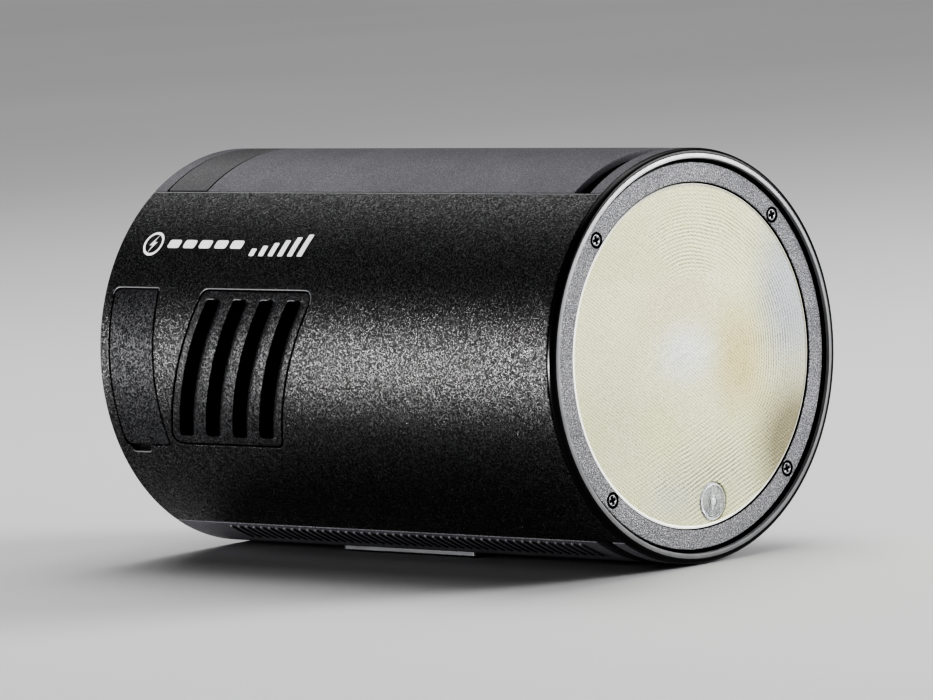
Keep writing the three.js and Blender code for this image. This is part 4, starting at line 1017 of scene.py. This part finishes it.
def dial_and_set(z):
    """The knurled dial round the set key."""
    proud = PANEL_FACE - span("select_dial")[0].x
    teeth, steps = 36, 216
    knurl = []
    for k in range(steps):
        turn = 2 * pi * k / steps
        r = 10.78 + 0.2 * max(-0.4, cos(teeth * turn))
        knurl.append((r * cos(turn), z + r * sin(turn)))
    lay("select_dial_wheel", [
        slab(knurl, [circle(0, z, 5.0, 64)], low=-0.55, high=proud - 0.25, edge=0.35),
        slab(circle(0, z, 9.6, 72), [circle(0, z, 8.9, 72)], low=proud - 0.3, high=proud - 0.02, edge=0.2),
        slab(circle(0, z, 5.2), [circle(0, z, 3.35, 32)], low=-0.6, high=-0.1, edge=0),
        slab(circle(0, z + 7.0, 0.5, 20), low=proud - 0.3, high=proud - 0.2, edge=0)],
        ON_REAR, DIAL, "dial", "select_dial")
    rise = PANEL_FACE - span("set_button")[0].x
    turned("set_button_cap", rounded_disc(4.55, 0.0, rise - 0.72, 0.45, 0.12, 5, 6), KEY, "set_key", (0, z),
           steps=64, flip=True, origin=PANEL_FACE - 0.6, stands_for="set_button")


def panel_key(key, u, v):
    """A soft round key with a small pictogram in white."""
    proud = PANEL_FACE - span(key + "_button")[0].x
    profile = [(0, -2.8), (3.7, -2.8), (3.7, -2.2), (3.0, -2.2)]
    profile += rounded_disc(3.0, -2.2, proud - 0.1, 0.4, 0.1, 5, 6)[2:]
    body = key + "_key"
    turned(f"{key}_button_cap", profile, KEY, body, (-u, v), steps=56, flip=True, origin=PANEL_FACE,
           stands_for=key + "_button")
    ink = {"low": proud - 0.12, "high": proud + 0.02, "edge": 0}
    slabs = [slab(loop, holes, **ink) for loop, holes in pictogram(key, u, v)]
    lay(f"{key}_button_mark", slabs, ON_REAR, AMBER if key == "test" else PRINT, body)


def pictogram(key, u, v):
    """The outlines of a key's mark, each with its holes."""
    if key == "lamp":
        rays = []
        for turn in (pi * k / 4 for k in range(8)):
            corners = ((1.15, -0.1), (1.6, -0.07), (1.6, 0.07), (1.15, 0.1))
            rays.append([(u + r * cos(turn + lean), v + r * sin(turn + lean)) for r, lean in corners])
        return [(circle(u, v, 0.85, 24), [circle(u, v, 0.55, 24)])] + [(ray, ()) for ray in rays]
    if key == "test":
        bolt = [(0.5, 1.4), (-0.75, -0.2), (-0.05, -0.2), (-0.5, -1.4), (0.75, 0.2), (0.05, 0.2)]
        loops = [[(u + a, v + b) for a, b in bolt]]
    elif key == "wireless":
        spot = (u - 1.1, v - 0.9)
        loops = [circle(*spot, 0.32, 16)]
        loops += [arc(*spot, r, 0, 90, 8) + arc(*spot, r - 0.3, 90, 0, 8) for r in (1.1, 1.9, 2.6)]
    elif key == "menu":
        loops = [box(1.3, 0.17, 0.1, u, v + 0.85 * k) for k in (-1, 0, 1)]
    elif key == "mode":
        loops = [circle(u + k, v, 0.36, 18) for k in (-1, 0, 1)]
    else:
        loops = [box(0.5, 0.5, 0.12, u + a, v + b) for a in (-0.75, 0.75) for b in (-0.75, 0.75)]
    return [(loop, ()) for loop in loops]


def power_switch(u, v, half):
    """The slide switch's ribbed knob with its slider, the base behind it, and its two marks."""
    left = u - half
    ribs = [slab(rectangle(x, x + 0.4, v - 1.3, v + 1.3, 0.18), low=0.7, high=1.12, edge=0.18)
            for x in (left + 1.0 + 0.85 * k for k in range(4))]
    lay("power_switch_knob", [
        slab(box(half, 1.8, 0.9, u, v), low=-2.4, high=0.75, edge=0.35),
        *ribs,
        slab(box(half + 1, 3, 0.5, u, v), low=-2.8, high=-2.3, edge=0)],
        ON_REAR, DIAL, "power_knob", "power_switch")
    plate("power_switch_base", box(6.2, 3.6, 0.6, v=v), ON_REAR, INNER, low=-3.6, high=-3.2, edge=0.1)
    lay("power_switch_marks", [
        slab(circle(-7.3, v, 0.5, 20), **INK),
        slab(circle(7.3, v, 0.85, 28), [circle(7.3, v, 0.55, 28)], **INK)], ON_REAR, PRINT)


# ---- inside ----

def fan():
    """The fan's square frame with its three arms, and the rotor inside it."""
    at, half = middle("fan_frame")
    deep, arm_high = 2 * half.y, 1.1 - 2 * half.y
    bore = [circle(0, 0, 11.9, 64)] + [circle(a, b, 1.1, 16) for a in (-10.6, 10.6) for b in (-10.6, 10.6)]
    slabs = [slab(box(half.x, half.x, 2.0), bore, low=-deep, edge=0.3),
             slab(circle(0, 0, 6.0, 32), low=-deep, high=arm_high, edge=0)]
    for turn in (2 * pi * k / 3 + 0.3 for k in range(3)):
        arm = [(a * cos(turn) - b * sin(turn), a * sin(turn) + b * cos(turn))
               for a, b in ((5.5, -0.7), (12.2, -0.7), (12.2, 0.7), (5.5, 0.7))]
        slabs.append(slab(arm, low=-deep, high=arm_high, edge=0))
    lay("fan_frame_moulding", slabs, facing_y(at.y - half.y, -1, at.x, at.z), INNER, stands_for="fan_frame")

    rotor_y = middle("fan_rotor")[0].y
    bm = bmesh.new()
    blades = 7
    for k in range(blades):
        add_blade(bm, 2 * pi * k / blades)
    for vertex in bm.verts:
        a, b, h = vertex.co
        vertex.co = Vector((at.x + a, rotor_y + h, at.z + b)) * MM
    bmesh.ops.recalc_face_normals(bm, faces=bm.faces[:])
    for face in bm.faces:
        face.smooth = True
    finish_piece("fan_blades", bm, INNER, "fan", "fan_rotor")
    turned("fan_hub", rounded_disc(6.0, -2.9, 2.8, 0.8, 0.1, 4, 4), INNER, "fan", (at.x, at.z), "y", steps=48,
           flip=True, origin=rotor_y)


def add_blade(bm, start):
    """One swept fan blade, twisted more at its root than at its tip."""
    steps = 6
    grid = []
    for i in range(steps + 1):
        out = i / steps
        pitch = radians(48 - 20 * out)
        row = []
        for j in range(steps + 1):
            across = j / steps - 0.5
            h = 5.0 * across * tan(pitch) * 0.62
            turn = start + 0.35 * out + across * 0.62
            row.append([bm.verts.new(spun(5.6 + 5.7 * out, h + side, turn)) for side in (-0.28, 0.28)])
        grid.append(row)
    for i in range(steps):
        for j in range(steps):
            for side in (0, 1):
                bm.faces.new((grid[i][j][side], grid[i][j + 1][side], grid[i + 1][j + 1][side],
                              grid[i + 1][j][side]))
        for j in (0, steps):
            bm.faces.new((*grid[i][j], *grid[i + 1][j][::-1]))
    for i in (0, steps):
        for j in range(steps):
            bm.faces.new((grid[i][j][0], grid[i][j + 1][0], grid[i][j + 1][1], grid[i][j][1]))


def ports():
    """The charging port and the sync jack behind the flap."""
    at, half = middle("usb_port")
    place = facing_y(at.y - half.y, -1, at.x, at.z)
    w, h, wall = half.x, half.z, 0.3
    lay("usb_port_shell", [
        slab(box(w, h, w), [box(w - wall, h - wall, w - wall)], low=-7.5, edge=0.1),
        slab(box(w - 0.1, h - 0.1, w - 0.2), low=-7.8, high=-7.5, edge=0)],
        place, STEEL, stands_for="usb_port")
    plate("usb_port_tongue", box(0.35, 3.2, 0.1), place, INNER, low=-7.0, high=-0.9, edge=0.1)
    at, half = middle("sync_jack")
    lay("sync_jack_body", [
        slab(circle(0, 0, 2.7, 40), [circle(0, 0, 1.75, 40)], low=-10.5, edge=0.2),
        slab(circle(0, 0, 2.65, 40), low=-11.5, high=-10.6, edge=0)],
        facing_y(at.y - half.y, -1, at.x, at.z), INNER, stands_for="sync_jack")


def battery():
    """The battery's tray, cells and contacts, and the spring of its latch."""
    at, half = middle("battery_tray")
    deep, wall = 2 * half.y, 1.2
    lay("battery_tray_moulding", [
        slab(box(half.x, half.z, 1.6), [box(half.x - wall, half.z - wall, 1.0)], low=wall - deep, edge=0.3),
        slab(box(half.x - 0.4, half.z - 0.4, 1.2), low=-deep, high=wall - deep - 0.01, edge=0)],
        facing_y(at.y + half.y, 1, at.x), INNER, "battery", "battery_tray")
    r = 9.2
    for name in ("battery_cell_upper", "battery_cell_lower"):
        at, half = middle(name)
        back, front = at.x - half.x, at.x + half.x
        can = [(0, back + 0.2), (r - 1.2, back + 0.2), (r - 0.9, back), (r - 0.3, back), (r, back + 0.4),
               (r, front - 3.4), (r - 0.35, front - 3.0), (r - 0.35, front - 2.6), (r, front - 2.2),
               (r, front - 1.4), (r - 0.4, front - 1.0), (r - 1.6, front - 1.0), (r - 2.0, front - 1.3),
               (3.6, front - 1.3), (2.9, front - 0.3), (2.6, front), (0, front)]
        turned(name + "_can", can, WRAP, "battery", (at.y, at.z), steps=64, stands_for=name)
    at, half = middle("battery_contacts")
    lay("battery_contact_pads", [slab(box(2.1, 0.65, 0.3, at.y, at.z + 2 * k), low=-0.4, edge=0.1)
                                 for k in range(-2, 3)],
        on_plane((at.x - half.x, 0, 0), Y, Z, -X), GOLD, "battery", "battery_contacts")

    low, high = span("latch_spring")
    turns, steps, wire_r, coil_r, coil_y = 4, 24, 0.22, 0.9, 34.2
    coil = []
    for k in range(turns * steps + 1):
        x = low.x + 0.35 + (high.x - low.x - 0.7) * k / (turns * steps)
        turn = 2 * pi * k / steps
        coil.append((x, coil_y + coil_r * cos(turn), coil_r * sin(turn)))
    wire("latch_spring_coil", coil, wire_r, STEEL, 10, "latch_spring")


CARRIED = {
    "lens_gasket": SEAL, "tube_socket": CERAMIC, "modelling_lamp_board": BOARD,
    "modelling_lamp_emitter": CERAMIC, "control_board": BOARD, "dial_encoder": STEEL, "light_sensor": INNER,
    "radio_module": BOARD, "beeper": INNER, "main_capacitor": SLEEVE, "power_board": BOARD,
    "transformer": COPPER, "heat_sink": FIN, "main_chassis": INNER, "battery_bay": INNER,
    "bay_contacts": GOLD,
}


def dress_carried_nodes():
    """Give the CAD nodes that stay their material and a small bevel."""
    for name, material in CARRIED.items():
        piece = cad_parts[name]
        piece.data.materials.clear()
        piece.data.materials.append(material)
        bevel = piece.modifiers.new("edge", "BEVEL")
        bevel.width = 0.2 * MM
        bevel.segments = 2
        bevel.limit_method = "ANGLE"
        bevel.angle_limit = radians(40)


# ---- stage ----

def add_object(name, data):
    thing = bpy.data.objects.new(name, data)
    bpy.context.scene.collection.objects.link(thing)
    return thing


def stage():
    """A wide pale floor just below the foot, which can be seen through from underneath."""
    size, gap_mm = 14.0, 0.2
    height = (PLATE[0].z - gap_mm) * MM
    mesh = bpy.data.meshes.new("floor")
    corners = [(x * size, y * size, height) for x, y in ((-1, -1), (1, -1), (1, 1), (-1, 1))]
    mesh.from_pydata(corners, [], [(0, 1, 2, 3)])
    finish = Finish("pale_floor")
    finish.set(base_color=finish.ramp(finish.noise(300), (0.3, 0.66), (0.7, 0.7)), roughness=0.85)
    from_below = finish.add("NewGeometry", output="Backfacing")
    finish.fill(finish.out, {0: finish.add("MixShader", {
        0: from_below, 1: Signal(finish, finish.shader.outputs[0]), 2: finish.add("BsdfTransparent")})})
    mesh.materials.append(finish.material)
    floor = add_object("floor", mesh)
    return floor


def sky():
    """A dim pale sky, and the colour transform the picture is seen through."""
    bpy.context.scene.view_settings.look = "AgX - High Contrast"
    world = bpy.data.worlds.new("studio")
    bpy.context.scene.world = world
    world.use_nodes = True
    background = world.node_tree.nodes["Background"]
    background.inputs["Color"].default_value = (0.78, 0.78, 0.79, 1)
    background.inputs["Strength"].default_value = 0.145


def softbox(name, place, aim, size, power):
    light = bpy.data.lights.new(name, "AREA")
    light.shape = "RECTANGLE"
    light.size, light.size_y = size
    light.energy = power
    lamp = add_object(name, light)
    lamp.visible_camera = False
    lamp.location = place
    lamp.rotation_mode = "QUATERNION"
    lamp.rotation_quaternion = (Vector(aim) - Vector(place)).to_track_quat("-Z", "Y")
    return lamp


def lights(floor):
    """A wide overhead sun and four softboxes; the one low at the side leaves the floor unlit."""
    sun = bpy.data.lights.new("overhead_sun", "SUN")
    sun.energy = 0.9
    sun.angle = radians(70)
    add_object("overhead_sun", sun).rotation_euler = (radians(-18), radians(-12), 0)
    softbox("top_box", (-0.1, 0.25, 0.85), (0, 0, 0), (0.6, 0.5), 3.0)
    softbox("front_box", (0.75, 0.68, 0.33), (0.06, 0, 0), (0.5, 0.5), 11.0)
    softbox("back_box", (-0.6, 0.18, 0.55), (-0.02, 0, 0), (0.45, 0.45), 0.75)
    side = softbox("side_box", (-0.215, -0.365, 0.0), (0.025, -0.02, 0), (0.1, 0.05), 2.3)
    unlit = bpy.data.collections.new("side_box_misses")
    unlit.objects.link(floor)
    unlit.collection_objects[0].light_linking.link_state = "EXCLUDE"
    side.light_linking.receiver_collection = unlit


# Camera: where a photographer would stand to see the front right of the barrel, a little above it. Angles are
# in degrees, the lens in millimetres, and the rest in metres: the distance from the front's centre, and how
# far the aim lies to the left of that centre and above it.
CAMERA = {"yaw": 47.07, "pitch": 5.49, "roll": 3.56, "distance": 1.271, "lens": 268.9, "left": 0.04209,
          "up": 0.00111}


def camera():
    yaw, pitch, roll = (radians(CAMERA[angle]) for angle in ("yaw", "pitch", "roll"))
    back = Vector((cos(pitch) * cos(yaw), -cos(pitch) * sin(yaw), sin(pitch)))
    right = Z.cross(back).normalized()
    up = back.cross(right)
    right, up = right * cos(roll) - up * sin(roll), right * sin(roll) + up * cos(roll)
    front = X * FRONT * MM
    spot = front + back * CAMERA["distance"]
    ahead = (front - right * CAMERA["left"] + up * CAMERA["up"] - spot).normalized()
    side = ahead.cross(up).normalized()
    view = bpy.data.cameras.new("camera")
    view.lens = CAMERA["lens"]
    view.sensor_width = 36
    view.clip_end = 50
    eye = add_object("camera", view)
    facing = Matrix((side, side.cross(ahead), -ahead)).transposed()
    eye.matrix_world = Matrix.Translation(spot) @ facing.to_4x4()
    bpy.context.scene.camera = eye


front_rim()
bezel()
lens()
optics()
bands()
right_side()
left_side()
foot_plate()
rear_panel()
fan()
ports()
battery()
dress_carried_nodes()
stage_floor = stage()
sky()
lights(stage_floor)
camera()
